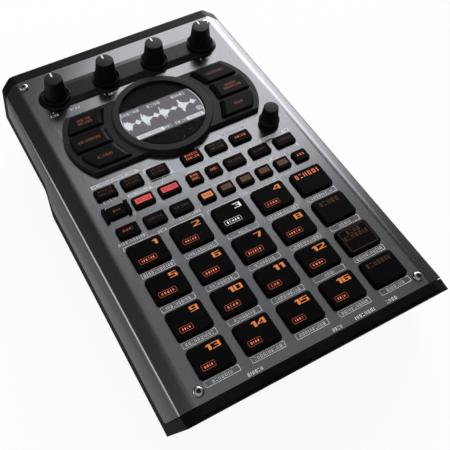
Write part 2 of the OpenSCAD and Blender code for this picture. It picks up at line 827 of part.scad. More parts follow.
// Display panel on four legs that stand on the panel board
module display_module() {
    color("#6d6a70")
    translate([0, pod_y, 0]) {
        translate([0, 0, top_z - 0.4])
            linear_extrude(lens_z - top_z + 0.2)
                intersection() {
                    circle(window_fit_r - 0.2, $fn = 128);
                    square([2 * window_fit_r, window_fit_r], center = true);
                }
        for (x = [-1, 1], y = [-1, 1])
            block(x * window_fit_r * 0.7, y * window_fit_r * 0.38, board_top_z, 4, 4, top_z - board_top_z);
    }
}

// Panel board with the bodies of the pots and of the encoder, and main board with the sockets
module circuit_boards() {
    color("#1f4a2c") {
        translate([-board_half_w, front_wall_in_y + 1, board_top_z - board_t])
            cube([2 * board_half_w, board_rear_y - front_wall_in_y - 1, board_t]);
        translate([-main_half_w, front_wall_in_y + 1, main_board_z - board_t])
            cube([2 * main_half_w, tub_rear_y - tub_wall - 0.8 - front_wall_in_y - 1, board_t]);
    }
    color("#7a7c80") {
        for (i = [1:4]) control_body(knob_x(i), knob_y, top_z + plinth_h - 0.6);
        control_body(encoder_spot_x, encoder_y, top_z + 0.8);
    }
}

// Rubber mat under the pads and keys, and the six domes under the effect buttons
module key_mat() {
    color("#3a3a3c") {
        difference() {
            translate([-mat_half_w, front_wall_in_y + 1, board_top_z])
                cube([2 * mat_half_w, encoder_y + 8.5 - front_wall_in_y - 1, mat_t]);
            block(encoder_spot_x, encoder_y, board_top_z - 1, 12.8, 12.8, mat_t + 2);
        }
        for (s = fx_spots)
            block(s[0] * fx_middle_x, pod_y + s[1] * fx_fit_pitch, board_top_z, 10, 8, mat_t + 0.8);
    }
}

// Sockets, level pot and switch behind the front recess
module front_connectors() {
    color("#2c2c30") {
        for (x = front_quarter_xs) on_wall(-1, x) round_socket(15, collar_r, socket_r);
        on_wall(-1, front_mini_x) round_socket(9, mini_collar_r, mini_r);
        on_wall(-1, gain_x)
            difference() {
                union() {
                    wall_housing(12, 10, body_tall);
                    translate([0, 0, -case_wall - 1])
                        cylinder(r = bush_r, h = case_wall + 2.5);
                }
                translate([0, 0, -case_wall - 9])
                    cylinder(r = shaft_r + shaft_clear, h = case_wall + 20);
            }
        on_wall(-1, selector_x) switch_housing();
    }
}

// Sockets, data port, power inlet and power switch behind the rear wall
module rear_connectors() {
    color("#2c2c30") {
        for (x = rear_quarter_xs) on_wall(1, x) round_socket(15, collar_r, socket_r);
        for (x = rear_mini_xs) on_wall(1, x) round_socket(9, mini_collar_r, mini_r);
        on_wall(1, inlet_x) round_socket(11, collar_r - 0.4, inlet_r);
        on_wall(1, usb_x)
            difference() {
                union() {
                    wall_housing(12, 9, 11);
                    translate([-4.7, -1.8, -case_wall - 1])
                        cube([9.4, 3.6, case_wall + 1]);
                }
                cube([8.4, 2.6, 14], center = true);
            }
        on_wall(1, power_x) switch_housing();
    }
}

// Spring plates at both ends of the battery bay
module battery_contacts() {
    color("#c0c2c4")
    for (side = [-1, 1], i = [0:2])
        block(side * (bay_w / 2 - 0.3), bay_y0 + bay_d * (0.19 + 0.31 * i), bay_z0 + 2, 0.6, 10, 11);
}

// Door that slides out forward under the front wall
module battery_door() {
    color("#1b1b1d")
    difference() {
        union() {
            translate([-door_w / 2, recess_back_y, foot_h])
                cube([door_w, door_y1 - recess_back_y, door_t]);
            translate([-door_w / 2 - door_flange, recess_back_y, foot_h + door_ledge + 0.1])
                cube([door_w + 2 * door_flange, door_y1 - recess_back_y, door_t - door_ledge - 0.1]);
        }
        for (i = [0:4])
            block(0, recess_back_y + 12 + 3 * i, foot_h - 1, 30, 1.4, 1.6);
    }
}

// Four round feet
module rubber_feet() {
    color("#101010")
    for (p = foot_spots)
        translate([p[0], p[1], 0])
            cylinder(r1 = foot_r - 0.5, r2 = foot_r, h = foot_h);
}

// Button-head screws of the cover, with hex sockets
module panel_screws() {
    color("#c8c8cc")
    for (x = [-1, 1], y = cover_screw_ys)
        translate([x * cover_screw_x, y, top_z])
            difference() {
                union() {
                    rotate_extrude()
                        polygon([[0, 0], [screw_head_r, 0], [screw_head_r, 0.4], [2.6, 1.1], [1.9, 1.5], [0, 1.5]]);
                    translate([0, 0, -7])
                        cylinder(r = screw_r, h = 7.5);
                }
                translate([0, 0, 0.5])
                    cylinder(r = 1.1, h = 3, $fn = 6);
            }
}

// Screws that hold the two halves of the case together
module case_screws() {
    color("#2a2a2c")
    for (x = [-1, 1]) {
        for (y = boss_front_ys)
            translate([x * boss_x, y, foot_h + 0.2]) {
                cylinder(r = screw_head_r, h = 1.2);
                cylinder(r = screw_r, h = 12);
            }
        for (y = boss_rear_ys)
            translate([x * boss_x, y, shelf_top_z - shelf_t - 1.2]) {
                cylinder(r = screw_head_r, h = 1.2);
                cylinder(r = screw_r, h = 10);
            }
    }
}

// Two low walls that keep the first middle key from being pressed by accident
module key_guard() {
    color("#161618")
    for (side = [-1, 1])
        block(key_left_x + side * (guard_w - guard_t) / 2, key_rows[1], top_z, guard_t, key_fit_d + 1, guard_h);
}

// A rubber pad, by column from the left and row from the rear
module pad(column, row) {
    spot = pad_spot(column, row);
    color("#1a1a1c")
    cover_button(spot[0], spot[1], pad_fit_w, pad_fit_d, pad_r, pad_h);
}

// A group of keys on one strip of the mat
module key_group(name) {
    color("#18181a")
    for (k = keys_of(name))
        cover_button(k[0], key_rows[key_row(name)], k[1], key_fit_d, key_r, key_h);
}

// An effect button in the pod, with the flange that keeps it under the pod
module fx_button(i) {
    s = fx_spots[i - 1];
    color("#232325")
    translate([0, pod_y, fx_base_z]) {
        difference() {
            linear_extrude(top_z + pod_h + fx_h - fx_base_z)
                fx_outline(s[0], s[1], 0);
            translate([0, 0, top_z + pod_h + fx_h - fx_slope_h * 1.2 - fx_base_z])
                cylinder(r1 = fx_fit_inner_r - 0.2 * fx_slope_w, r2 = fx_fit_inner_r + 1.2 * fx_slope_w,
                         h = 1.4 * fx_slope_h, $fn = 128);
        }
        linear_extrude(top_z - 0.3 - fx_base_z)
            fx_outline(s[0], s[1], fx_grow);
    }
}

// A rear knob with its shaft
module knob(i) {
    color("#1c1c1e")
    translate([knob_x(i), knob_y, 0]) {
        knob_shape(top_z + plinth_h + 0.4, top_z + knob_top_h, knob_skirt_r, knob_top_r);
        translate([0, 0, board_top_z + 1.2])
            cylinder(r = shaft_r, h = top_z + knob_top_h - 4 - board_top_z);
    }
}

// Encoder shaft, which can be pushed
module encoder_shaft() {
    color("#9a9ca0")
    translate([encoder_spot_x, encoder_y, board_top_z + 1.2 + encoder_travel])
        cylinder(r = shaft_r, h = top_z + 9.5 - board_top_z - 1.2 - encoder_travel);
}

// Encoder knob, turning with the shaft's bore
module encoder_knob() {
    color("#1c1c1e")
    translate([encoder_spot_x, encoder_y, 0])
        difference() {
            knob_shape(top_z + 1.5, top_z + encoder_top_h, encoder_r, encoder_top_r);
            translate([0, 0, top_z])
                cylinder(r = shaft_r + shaft_clear, h = 9.8);
        }
}

// Input level knob with its shaft
module gain_knob() {
    color("#1c1c1e")
    on_wall(-1, gain_x) {
        translate([0, 0, 1.8])
            cylinder(r1 = gain_r, r2 = gain_r - 0.5, h = 7);
        translate([0, 0, -case_wall - 8])
            cylinder(r = shaft_r, h = case_wall + 12);
    }
}

// Lever of the input switch
module input_switch() {
    color("#303034")
    on_wall(-1, selector_x) switch_lever(2.6);
}

// Lever of the power switch
module power_switch() {
    color("#303034")
    on_wall(1, power_x) switch_lever(-0.3);
}

side_rails();
front_cap();
rear_cap();
lower_case();
top_cover();
knob_plinth();
display_pod();
display_lens();
display_module();
circuit_boards();
key_mat();
front_connectors();
rear_connectors();
battery_contacts();
battery_door();
rubber_feet();
panel_screws();
case_screws();
key_guard();
for (i = [1:16])
    pad((i - 1) % 4, floor((i - 1) / 4));
for (i = [1:4])
    pad(4, i - 1);
for (i = [1:6])
    fx_button(i);
for (name = key_groups)
    key_group(name);
for (i = [1:4])
    knob(i);
encoder_shaft();
encoder_knob();
gain_knob();
input_switch();
power_switch();
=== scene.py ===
import math
import random

import bmesh
import bpy
from mathutils import Matrix, Vector
from mathutils.bvhtree import BVHTree


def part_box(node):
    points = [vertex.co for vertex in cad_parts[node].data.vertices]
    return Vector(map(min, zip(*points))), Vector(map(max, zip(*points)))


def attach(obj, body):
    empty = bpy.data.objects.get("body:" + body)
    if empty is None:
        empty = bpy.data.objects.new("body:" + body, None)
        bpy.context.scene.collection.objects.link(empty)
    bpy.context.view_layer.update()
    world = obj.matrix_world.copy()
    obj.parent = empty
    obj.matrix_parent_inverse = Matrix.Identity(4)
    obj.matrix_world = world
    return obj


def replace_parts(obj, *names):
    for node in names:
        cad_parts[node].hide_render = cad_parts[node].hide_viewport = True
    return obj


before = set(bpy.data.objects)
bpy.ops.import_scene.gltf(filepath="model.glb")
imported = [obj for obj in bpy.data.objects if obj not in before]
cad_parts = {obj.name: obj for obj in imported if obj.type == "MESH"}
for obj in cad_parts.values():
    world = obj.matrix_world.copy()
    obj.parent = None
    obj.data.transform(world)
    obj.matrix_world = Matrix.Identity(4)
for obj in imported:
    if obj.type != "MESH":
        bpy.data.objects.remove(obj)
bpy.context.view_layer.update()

# Lower case and battery door
# Two deep mouldings in black ABS, left as they come from a spark-eroded tool, with its dull, even grain.
# The lower case is screwed up into the bosses of the side rails, and the door slides into it from the front.
mm = 0.001
cloud_size = 22 * mm


def hex_colour(text):
    """An sRGB hex colour as the linear one that the shaders work in."""
    parts = [int(text[i:i + 2], 16) / 255 for i in (1, 3, 5)]
    linear = [v / 12.92 if v <= 0.04045 else ((v + 0.055) / 1.055) ** 2.4 for v in parts]
    return (*linear, 1.0)


def add_node(tree, kind, inputs=None, **settings):
    """Adds a node with its settings. An input, given by name or number, is a socket to link or a value."""
    node = tree.nodes.new(kind)
    for name, value in settings.items():
        setattr(node, name, value)
    for key, value in (inputs or {}).items():
        if isinstance(value, bpy.types.NodeSocket):
            tree.links.new(value, node.inputs[key])
        else:
            node.inputs[key].default_value = value
    return node


def blank_finish(name):
    """A new material with an empty node tree, and the place on the piece that its patterns follow."""
    finish = bpy.data.materials.new(name)
    finish.use_nodes = True
    tree = finish.node_tree
    tree.nodes.clear()
    place = add_node(tree, "ShaderNodeTexCoord").outputs["Object"]
    return finish, tree, place


def moulded_finish(name, dark, light, roughness, depth, grain=0.5 * mm, shine=0.2):
    """A moulding: its colour clouds a little, and its grain, drawn coarse to show, breaks up the sheen."""
    finish, tree, place = blank_finish(name)
    fine = add_node(tree, "ShaderNodeTexNoise", {"Vector": place, "Scale": 1 / grain, "Detail": 3.0})
    cloud = add_node(tree, "ShaderNodeTexNoise", {"Vector": place, "Scale": 1 / cloud_size, "Detail": 3.0})
    spread = add_node(tree, "ShaderNodeMapRange", {0: cloud.outputs["Fac"], 1: 0.35, 2: 0.65})
    colour = add_node(tree, "ShaderNodeMix",
                      {0: spread.outputs[0], 6: hex_colour(dark), 7: hex_colour(light)}, data_type="RGBA")
    gloss = add_node(tree, "ShaderNodeMapRange",
                     {0: fine.outputs["Fac"], 1: 0.3, 2: 0.7, 3: roughness - 0.06, 4: roughness + 0.06})
    bump = add_node(tree, "ShaderNodeBump",
                    {"Height": fine.outputs["Fac"], "Strength": 0.5, "Distance": depth})
    shader = add_node(tree, "ShaderNodeBsdfPrincipled",
                      {"Base Color": colour.outputs[2], "Roughness": gloss.outputs[0],
                       "Normal": bump.outputs["Normal"], "IOR": 1.5, "Specular IOR Level": shine})
    add_node(tree, "ShaderNodeOutputMaterial", {"Surface": shader.outputs[0]})
    return finish


def dress(node, finish):
    """Gives a CAD node's own object a finish."""
    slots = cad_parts[node].material_slots
    if not slots:
        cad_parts[node].data.materials.append(finish)
    for slot in slots:
        slot.material = finish


dress("lower_case", moulded_finish("black_abs_moulded", "#0e0e0f", "#161617", roughness=0.5,
                                   grain=0.45 * mm, depth=0.03 * mm, shine=0.08))
dress("battery_door", moulded_finish("black_abs_door", "#0d0d0e", "#151516", roughness=0.54,
                                     grain=0.45 * mm, depth=0.03 * mm, shine=0.08))

# Rubber feet
# Four round feet of soft black rubber, stuck to the underside of the lower case.
# Moulded rubber is duller than the case and carries a fine dust.
dress("rubber_feet", moulded_finish("black_rubber_foot", "#151514", "#232321", roughness=0.78,
                                    grain=0.6 * mm, depth=0.05 * mm))

# Battery contacts and case screws
# Thin nickel-plated plates at the sides of the bay, and black zinc self-tapping screws in the bosses.
# Plating is bright but a little streaked by the press tool.


def plated_finish(name, dark, light, roughness, grain):
    """A plated or polished metal, with faint streaks from the tool that shaped it."""
    finish, tree, place = blank_finish(name)
    drawn_out = add_node(tree, "ShaderNodeMapping", {"Vector": place, "Scale": (1.0, 1.0, 6.0)})
    streak = add_node(tree, "ShaderNodeTexNoise",
                      {"Vector": drawn_out.outputs[0], "Scale": 1 / grain, "Detail": 4.0})
    colour = add_node(tree, "ShaderNodeMix",
                      {0: streak.outputs["Fac"], 6: hex_colour(dark), 7: hex_colour(light)}, data_type="RGBA")
    gloss = add_node(tree, "ShaderNodeMapRange",
                     {0: streak.outputs["Fac"], 3: 0.7 * roughness, 4: 1.3 * roughness})
    shader = add_node(tree, "ShaderNodeBsdfPrincipled",
                      {"Base Color": colour.outputs[2], "Roughness": gloss.outputs[0], "Metallic": 1.0})
    add_node(tree, "ShaderNodeOutputMaterial", {"Surface": shader.outputs[0]})
    return finish


dress("battery_contacts", plated_finish("nickel_plated_spring_steel", "#a8a49c", "#cfcbc2", roughness=0.25,
                                        grain=0.8 * mm))
dress("case_screws", plated_finish("black_zinc_screw", "#1d1d1f", "#33343a", roughness=0.4, grain=0.6 * mm))

# Circuit boards, key mat and display module
# Green glass-fibre boards carry the pots, a grey silicone mat lies under the keys, with a display over it.
# Solder mask is glossy, and the weave of the glass shows faintly through it.


def board_finish(name):
    """Solder mask over woven glass: a square weave, drawn coarse to show, with paler lines in the green."""
    finish, tree, place = blank_finish(name)
    weave = add_node(tree, "ShaderNodeTexBrick",
                     {"Vector": place, "Color1": hex_colour("#1c4a2c"), "Color2": hex_colour("#23573a"),
                      "Mortar": hex_colour("#2f6a47"), "Scale": 1 / (2.4 * mm), "Mortar Size": 0.06})
    shader = add_node(tree, "ShaderNodeBsdfPrincipled",
                      {"Base Color": weave.outputs["Color"], "Roughness": 0.3, "IOR": 1.5})
    add_node(tree, "ShaderNodeOutputMaterial", {"Surface": shader.outputs[0]})
    return finish


dress("circuit_boards", board_finish("green_solder_mask"))
dress("key_mat", moulded_finish("grey_silicone_mat", "#3a3a3c", "#454547", roughness=0.6,
                                depth=0.03 * mm))
dress("display_module", moulded_finish("display_glass_back", "#0c0c0d", "#111113", roughness=0.3,
                                       depth=0.01 * mm))

# Side rails, front cap and rear cap
# Three black ABS mouldings frame the shell: side rims, a lip over the front sockets, and the rear wall.
# Their outer edges are softened so that they do not chip. The long side folds drift out towards the front.
cover_low, cover_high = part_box("top_cover")
panel_z = cover_high.z
shoulder_x = 85.4 * mm
shoulder_z = panel_z - 4.2 * mm
shoulder_near = 4.5 * mm
shoulder_flare = 1.5 * mm
shoulder_fade = 5 * mm
case_edge = 0.35 * mm
socket_wall_z = 42 * mm


def flared(point):
    """Where a point of the long side folds lies, as they drift out and down a little towards the front."""
    side = 1 if point.x > 0 else -1
    if math.hypot(abs(point.x) - shoulder_x, point.z - shoulder_z) > shoulder_near:
        return point
    along = (cover_high.y - point.y) / (cover_high.y - cover_low.y)
    ahead = 1 - (cover_low.y - point.y) / shoulder_fade
    share = max(min(along, ahead, 1), 0)
    return point + share * shoulder_flare * Vector((0.894 * side, 0, -0.447))


def linked(name, data):
    """A new object of the scene, with this data."""
    item = bpy.data.objects.new(name, data)
    bpy.context.scene.collection.objects.link(item)
    return item


def mesh_of(name, shape):
    """The plain mesh of a finished shape."""
    mesh = bpy.data.meshes.new(name)
    shape.to_mesh(mesh)
    shape.free()
    return mesh


def new_piece(name, mesh, finish):
    """A new object with its place in its mesh, shaded smooth."""
    piece = linked(name, mesh)
    if finish:
        mesh.materials.clear()
        mesh.materials.append(finish)
    for face in mesh.polygons:
        face.use_smooth = True
    return piece


def settle(piece):
    """Turns what the piece's modifiers give into its own plain mesh."""
    graph = bpy.context.evaluated_depsgraph_get()
    mesh = bpy.data.meshes.new_from_object(piece.evaluated_get(graph))
    piece.modifiers.clear()
    piece.data = mesh


def bevelled(piece, width, segments, **settings):
    """Puts a modifier on a piece that rounds its edges."""
    bevel = piece.modifiers.new("edges", "BEVEL")
    bevel.width = width
    bevel.segments = segments
    for name, value in settings.items():
        setattr(bevel, name, value)


def even_normals(piece, sharp=45):
    """Keeps flat faces flat beside rounded edges, and keeps the sharpest edges crisp."""
    piece.data.set_sharp_from_angle(angle=math.radians(sharp))
    normals = piece.modifiers.new("normals", "WEIGHTED_NORMAL")
    normals.keep_sharp = True
    settle(piece)


def rounded_copy(name, node, body, finish, width, sharp=35, flats=True, reshape=None):
    """Stands for a CAD node with its sharp edges rounded, as a moulding's are. Width may be a function."""
    shape = bmesh.new()
    shape.from_mesh(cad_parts[node].data)
    bmesh.ops.remove_doubles(shape, verts=shape.verts, dist=0.003 * mm)
    if flats:
        level = math.radians(0.2)
        bmesh.ops.dissolve_limit(shape, angle_limit=level, verts=shape.verts, edges=shape.edges)
    if reshape:
        for point in shape.verts:
            point.co = reshape(point.co)
    weight = shape.edges.layers.float.new("bevel_weight_edge")
    widest = 2.5 * mm
    for edge in shape.edges:
        if len(edge.link_faces) == 2 and edge.is_convex and edge.calc_face_angle(0) > math.radians(sharp):
            edge[weight] = (width(edge) if callable(width) else width) / widest
    solid = BVHTree.FromBMesh(shape)
    deepest = 0.35 * widest * max(edge[weight] for edge in shape.edges)
    piece = new_piece(name, mesh_of(name, shape), finish)
    if width:
        bevelled(piece, widest, 4, limit_method="WEIGHT", use_clamp_overlap=False)
        settle(piece)
        # A rounded corner that would stray from the solid is laid back on it, and kept in its box
        low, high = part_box(node)
        for point in piece.data.vertices:
            near, facing, face, away = solid.find_nearest(point.co)
            place = near if away > deepest else point.co
            point.co = [min(max(v, a), b) for v, a, b in zip(place, low, high)]
    even_normals(piece)
    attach(piece, body)
    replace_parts(piece, node)
    return piece


shell_plastic = moulded_finish("black_abs_shell", "#0b0b0c", "#111112", roughness=0.5, grain=0.45 * mm,
                               depth=0.025 * mm, shine=0.006)
# The walls that hold the sockets are polished in the tool, so they show their form from the front and behind
wall_plastic = moulded_finish("black_abs_socket_wall", "#0e0e0f", "#161617", roughness=0.45,
                              grain=0.45 * mm, depth=0.02 * mm, shine=0.09)
# The rear cap's top face is polished a little too, and takes a soft sheen from the light behind it
sheen_plastic = moulded_finish("black_abs_sheen", "#0b0b0c", "#111112", roughness=0.4, grain=0.45 * mm,
                               depth=0.02 * mm, shine=0.028)
rounded_copy("side_rails_moulding", "side_rails", "case", shell_plastic, case_edge)
front = rounded_copy("front_cap_moulding", "front_cap", "case", shell_plastic, case_edge, reshape=flared)
rear = rounded_copy("rear_cap_moulding", "rear_cap", "case", shell_plastic, case_edge)
for cap in (front.data, rear.data):
    cap.materials.append(wall_plastic)
    for face in cap.polygons:
        if face.normal.y > 0.6 or (face.normal.y < -0.6 and face.center.z < socket_wall_z):
            face.material_index = 1
rear.data.materials.append(sheen_plastic)
for face in rear.data.polygons:
    if face.normal.z > 0.6:
        face.material_index = 2

# Sockets, level knob and switches
# Black nylon socket bodies stand behind the walls, with their collars flush in the holes.
# Nylon is a shade lighter than the case and has a waxy gloss.
socket_nylon = moulded_finish("black_nylon_socket", "#1c1c1f", "#26262a", roughness=0.38,
                              depth=0.015 * mm)
switch_plastic = moulded_finish("black_switch_lever", "#202022", "#2b2b2e", roughness=0.45,
                                grain=0.4 * mm, depth=0.02 * mm)
for node in ("front_connectors", "rear_connectors"):
    dress(node, socket_nylon)
for node in ("gain_knob", "input_switch", "power_switch"):
    dress(node, switch_plastic)

# Top cover
# One sheet of aluminium, folded down at both sides, blasted, and sprayed with a grey metallic lacquer.
# The flakes mirror the room in a wide blur, so the panel runs from dark on the left to bright on the right.


def lacquer_finish(name, dark, light, roughness, grazing_shade_tint):
    """Grey metallic lacquer over a blasted sheet, with painted shade in its grazing reflection. Its flakes
    are drawn at 0.6 mm, coarse enough to show.
    """
    finish, tree, place = blank_finish(name)
    flake = add_node(tree, "ShaderNodeTexNoise", {"Vector": place, "Scale": 1 / (0.6 * mm), "Detail": 2.0})
    spread = add_node(tree, "ShaderNodeMapRange", {0: flake.outputs["Fac"], 1: 0.3, 2: 0.7})
    colour = add_node(tree, "ShaderNodeMix",
                      {0: spread.outputs[0], 6: hex_colour(dark), 7: hex_colour(light)}, data_type="RGBA")
    gloss = add_node(tree, "ShaderNodeMapRange",
                     {0: flake.outputs["Fac"], 1: 0.3, 2: 0.7, 3: roughness - 0.01, 4: roughness + 0.01})
    bump = add_node(tree, "ShaderNodeBump",
                    {"Height": flake.outputs["Fac"], "Strength": 0.03, "Distance": 0.015 * mm})
    shader = add_node(tree, "ShaderNodeBsdfPrincipled",
                      {"Base Color": colour.outputs[2], "Roughness": gloss.outputs[0], "Metallic": 1.0,
                       # The Specular Tint is painted shade on what the sheet reflects at grazing angles
                       "Specular Tint": grazing_shade_tint, "Normal": bump.outputs["Normal"]})
    add_node(tree, "ShaderNodeOutputMaterial", {"Surface": shader.outputs[0]})
    return finish


# The edge tint darkens what the sheet mirrors when seen along it, a painted shade that keeps the folded sides
# dark as if the floor beside them lay in shadow
lacquer = lacquer_finish("grey_metallic_lacquer", "#5d5e60", "#656669", 0.22, hex_colour("#a2a2a2"))
sheet = rounded_copy("top_cover_sheet", "top_cover", "case", lacquer, 0, flats=False, reshape=flared).data
# The top is dead flat up to its folds, so what meets it there starts from an upright normal
upright = [tuple(corner.vector) for corner in sheet.corner_normals]
for face in sheet.polygons:
    for i in face.loop_indices:
        at_top = sheet.vertices[sheet.loops[i].vertex_index].co.z > panel_z - 0.001 * mm
        if at_top and (face.normal.z > 0.9999 or upright[i][2] > 0.8):
            upright[i] = (0, 0, 1)
sheet.normals_split_custom_set(upright)

# Printing on the cover
# Pale grey ink, screen-printed on the lacquer: frames under the pads, headers over the keys, marks and lines.
# The ink is a thin flat layer, duller than the lacquer. Words are only hinted at, by rows of small blocks.


def ink_finish(name, colour, roughness):
    """A screen-printed ink, worn a little thin in places."""
    finish, tree, place = blank_finish(name)
    wear = add_node(tree, "ShaderNodeTexNoise", {"Vector": place, "Scale": 1 / (1.2 * mm), "Detail": 2.0})
    thin = tuple(0.8 * v for v in hex_colour(colour)[:3]) + (1.0,)
    shade = add_node(tree, "ShaderNodeMix", {0: wear.outputs["Fac"], 6: thin, 7: hex_colour(colour)},
                     data_type="RGBA")
    shader = add_node(tree, "ShaderNodeBsdfPrincipled",
                      {"Base Color": shade.outputs[2], "Roughness": roughness, "IOR": 1.45,
                       "Specular IOR Level": 0.25})
    add_node(tree, "ShaderNodeOutputMaterial", {"Surface": shader.outputs[0]})
    return finish


def slab(shape, points, low, high):
    """Adds a flat closed slab to a shape, with the outline given as points in order, seen from above."""
    turn = sum(a[0] * b[1] - a[1] * b[0] for a, b in zip(points, points[1:] + points[:1]))
    if turn < 0:
        points = points[::-1]
    bottom = [shape.verts.new((x, y, low)) for x, y in points]
    top = [shape.verts.new((x, y, high)) for x, y in points]
    shape.faces.new(top)
    shape.faces.new(bottom[::-1])
    for i in range(len(points)):
        j = (i + 1) % len(points)
        shape.faces.new((bottom[i], bottom[j], top[j], top[i]))


def bar(shape, x0, y0, x1, y1, low, high):
    """Adds a rectangular slab to a shape."""
    slab(shape, [(x0, y0), (x1, y0), (x1, y1), (x0, y1)], low, high)


def outline_box(shape, x0, y0, x1, y1, line, low, high, ease=0.0):
    """Adds four thin bars that frame a rectangle, with its corners left open where they are eased."""
    bar(shape, x0 + ease, y0, x1 - ease, y0 + line, low, high)
    bar(shape, x0 + ease, y1 - line, x1 - ease, y1, low, high)
    side = max(ease, line)
    bar(shape, x0, y0 + side, x0 + line, y1 - side, low, high)
    bar(shape, x1 - line, y0 + side, x1, y1 - side, low, high)


# The marks that stand for letters, each with its width as a share of the word's height
letter_marks = [("box", 0.62), ("upright", 0.22), ("pair", 0.56), ("box", 0.54), ("bars", 0.5),
                ("pair", 0.62), ("box", 0.6)]


def hint_words(shape, x, y, width, height, low, high, beat=0, gap=0.38):
    """Adds a row of small plain marks that stands for a short word: boxes, uprights, pairs and bars."""
    row = []
    reach = 0
    while reach < width:
        kind, wide = letter_marks[(beat + len(row)) % len(letter_marks)]
        row.append((kind, reach, wide * height))
        reach += (wide + gap) * height
    fit = width / (reach - gap * height)
    line = 0.18 * height
    y0 = y - height / 2
    y1 = y + height / 2
    for kind, start, wide in row:
        x0 = x - width / 2 + start * fit
        x1 = x0 + wide * fit
        if kind == "box":
            outline_box(shape, x0, y0, x1, y1, line, low, high)
        elif kind == "upright":
            bar(shape, x0, y0, x1, y1, low, high)
        elif kind == "pair":
            bar(shape, x0, y0, x0 + line, y1, low, high)
            bar(shape, x1 - line, y0, x1, y1, low, high)
        else:
            bar(shape, x0, y0, x1, y0 + line, low, high)
            bar(shape, x0, y1 - line, x1, y1, low, high)


def shape_piece(name, shape, finish, body):
    """Makes a piece of a finished shape, with its edges left crisp."""
    piece = new_piece(name, mesh_of(name, shape), finish)
    piece.data.set_sharp_from_angle(angle=math.radians(35))
    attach(piece, body)
    return piece


ink_pale = ink_finish("pale_screen_ink", "#dcdce0", 0.55)
ink_dark = ink_finish("grey_screen_ink", "#3e3f44", 0.5)
ink_low = panel_z - 0.01 * mm
ink_high = panel_z + 0.03 * mm
ink_over = ink_high + 0.02 * mm
word_height = 1.9 * mm
header_word_height = 1.6 * mm
header_half = 1.3
header_slant = 2.2
header_margin = 4.0
line_width = 0.32
tick = 1.2
bracket_y = -26.9
bracket_low = -29.4
dot_half = 0.4
pad_pitch_x = 28.4 * mm
pad_rows = [y * mm for y in (-37.45, -61.65, -85.85, -110.05)]
frame_drop = 11.7 * mm

printing = bmesh.new()


def print_words(x, y, width, beat=0):
    """Prints one hinted word, with its middle and width in millimetres."""
    hint_words(printing, x * mm, y * mm, width * mm, word_height, ink_low, ink_high, beat)


def print_line(x0, y0, x1, y1):
    """Prints a thin straight line along X or Y, with its ends in millimetres."""
    across = line_width / 2 if x0 == x1 else 0
    along = line_width / 2 if y0 == y1 else 0
    bar(printing, (min(x0, x1) - across) * mm, (min(y0, y1) - along) * mm, (max(x0, x1) + across) * mm,
        (max(y0, y1) + along) * mm, ink_low, ink_high)


def print_slab(corners):
    """Prints a filled form, with its corners in millimetres."""
    slab(printing, [(a * mm, b * mm) for a, b in corners], ink_low, ink_high)


# Words in the frames under the pads, row by row from the rear
pad_words = [(18.5, 17, 6, 18, 15), (15, 16, 13, 18, 8), (17, 13, 16, 6, 18), (12, 17, 16.5, 17.5, 12)]
for row, widths in enumerate(pad_words):
    for column, wide in enumerate(widths):
        print_words((column - 2) * pad_pitch_x / mm, (pad_rows[row] - frame_drop) / mm, wide, row + column)
# Words under single keys, by the knobs, by the encoder and along the front edge: middle and width
for x, y, wide in [(-60.4, 7.95, 8.7), (0, 7.35, 6.6), (18.5, 7.55, 12.7), (23.6, -8.4, 14.6),
                   (61.2, -8.3, 11.5), (-60.6, -24.1, 18.7), (-24, -24.1, 17.9), (42.4, -24.9, 12.5),
                   (-42.2, -26.45, 5.5), (14.5, -26.35, 5.1), (-63.4, 88.4, 5.5), (-48.4, 88.35, 6.7),
                   (-17.1, 89.4, 11.8), (20.4, 89.4, 12.8), (57.4, 89.0, 7.2), (55.6, 25.6, 6.8),
                   (-40.3, -127.75, 9), (12.3, -127.75, 6), (31.0, -127.75, 13), (49.4, -127.75, 7)]:
    print_words(x, y, wide, int(abs(x)) % 5)
# Headers with one slanted end over the key rows, with their words in dark ink on them: left, right and middle
header_words = bmesh.new()
for left, right, y in [(-66.9, -33.5, 21.5), (22.9, 44.4, 21.2), (-49.4, -32.0, 5.5), (44.6, 68.2, 5.45),
                       (42.3, 55.0, -10.7)]:
    cut_left = header_slant if left > 0 else 0.0
    cut_right = header_slant - cut_left
    print_slab([(left, y - header_half), (right, y - header_half), (right - cut_right, y + header_half),
                (left + cut_left, y + header_half)])
    word_x = (left + right + cut_left - cut_right) / 2
    hint_words(header_words, word_x * mm, y * mm, (right - left - header_margin) * mm, header_word_height,
               ink_high, ink_over, int(abs(left)) % 4)
shape_piece("cover_header_words", header_words, ink_dark, "case")
# Lines that lead from the headers along their rows, each with a short tick at its end
for x0, x1, y in [(5.9, 22.9, 20.1), (-9.3, 44.0, 4.35), (-9.2, 42.5, -11.8)]:
    print_line(x0, y, x1, y)
    print_line(x0, y, x0, y - tick)
# The frame round the third key of the rear row, with its stem
outline_box(printing, -32.4 * mm, 9.0 * mm, -15.4 * mm, 19.9 * mm, 1.1 * mm, ink_low, ink_high)
print_slab([(-23.2, 9.0), (-23.8, 9.0), (-26.3, 4.4), (-25.7, 4.4)])
print_line(-32.0, 4.4, -26.0, 4.4)
# Brackets over the first four pads of the rear row, and lines beside a word under the front row of keys
for left, right, word, gap in [(-68.5, -15.6, -42.2, 4.0), (-12.2, 41.0, 14.5, 3.8)]:
    print_line(left, bracket_y, word - gap, bracket_y)
    print_line(word + gap, bracket_y, right, bracket_y)
    print_line(left, bracket_y, left, bracket_low)
    print_line(right, bracket_y, right, bracket_low)
print_line(30.6, -23.6, 36.0, -23.6)
print_line(49.0, -23.6, 54.2, -23.6)
# A dot for each knob on the plinth's front edge
for x, y in [(-63, 91.2), (-25.5, 90.8), (11.7, 90.3), (49.7, 90.1)]:
    print_slab([(x - dot_half, y - dot_half), (x + dot_half, y - dot_half), (x + dot_half, y + dot_half),
                (x - dot_half, y + dot_half)])
shape_piece("cover_printing", printing, ink_pale, "case")


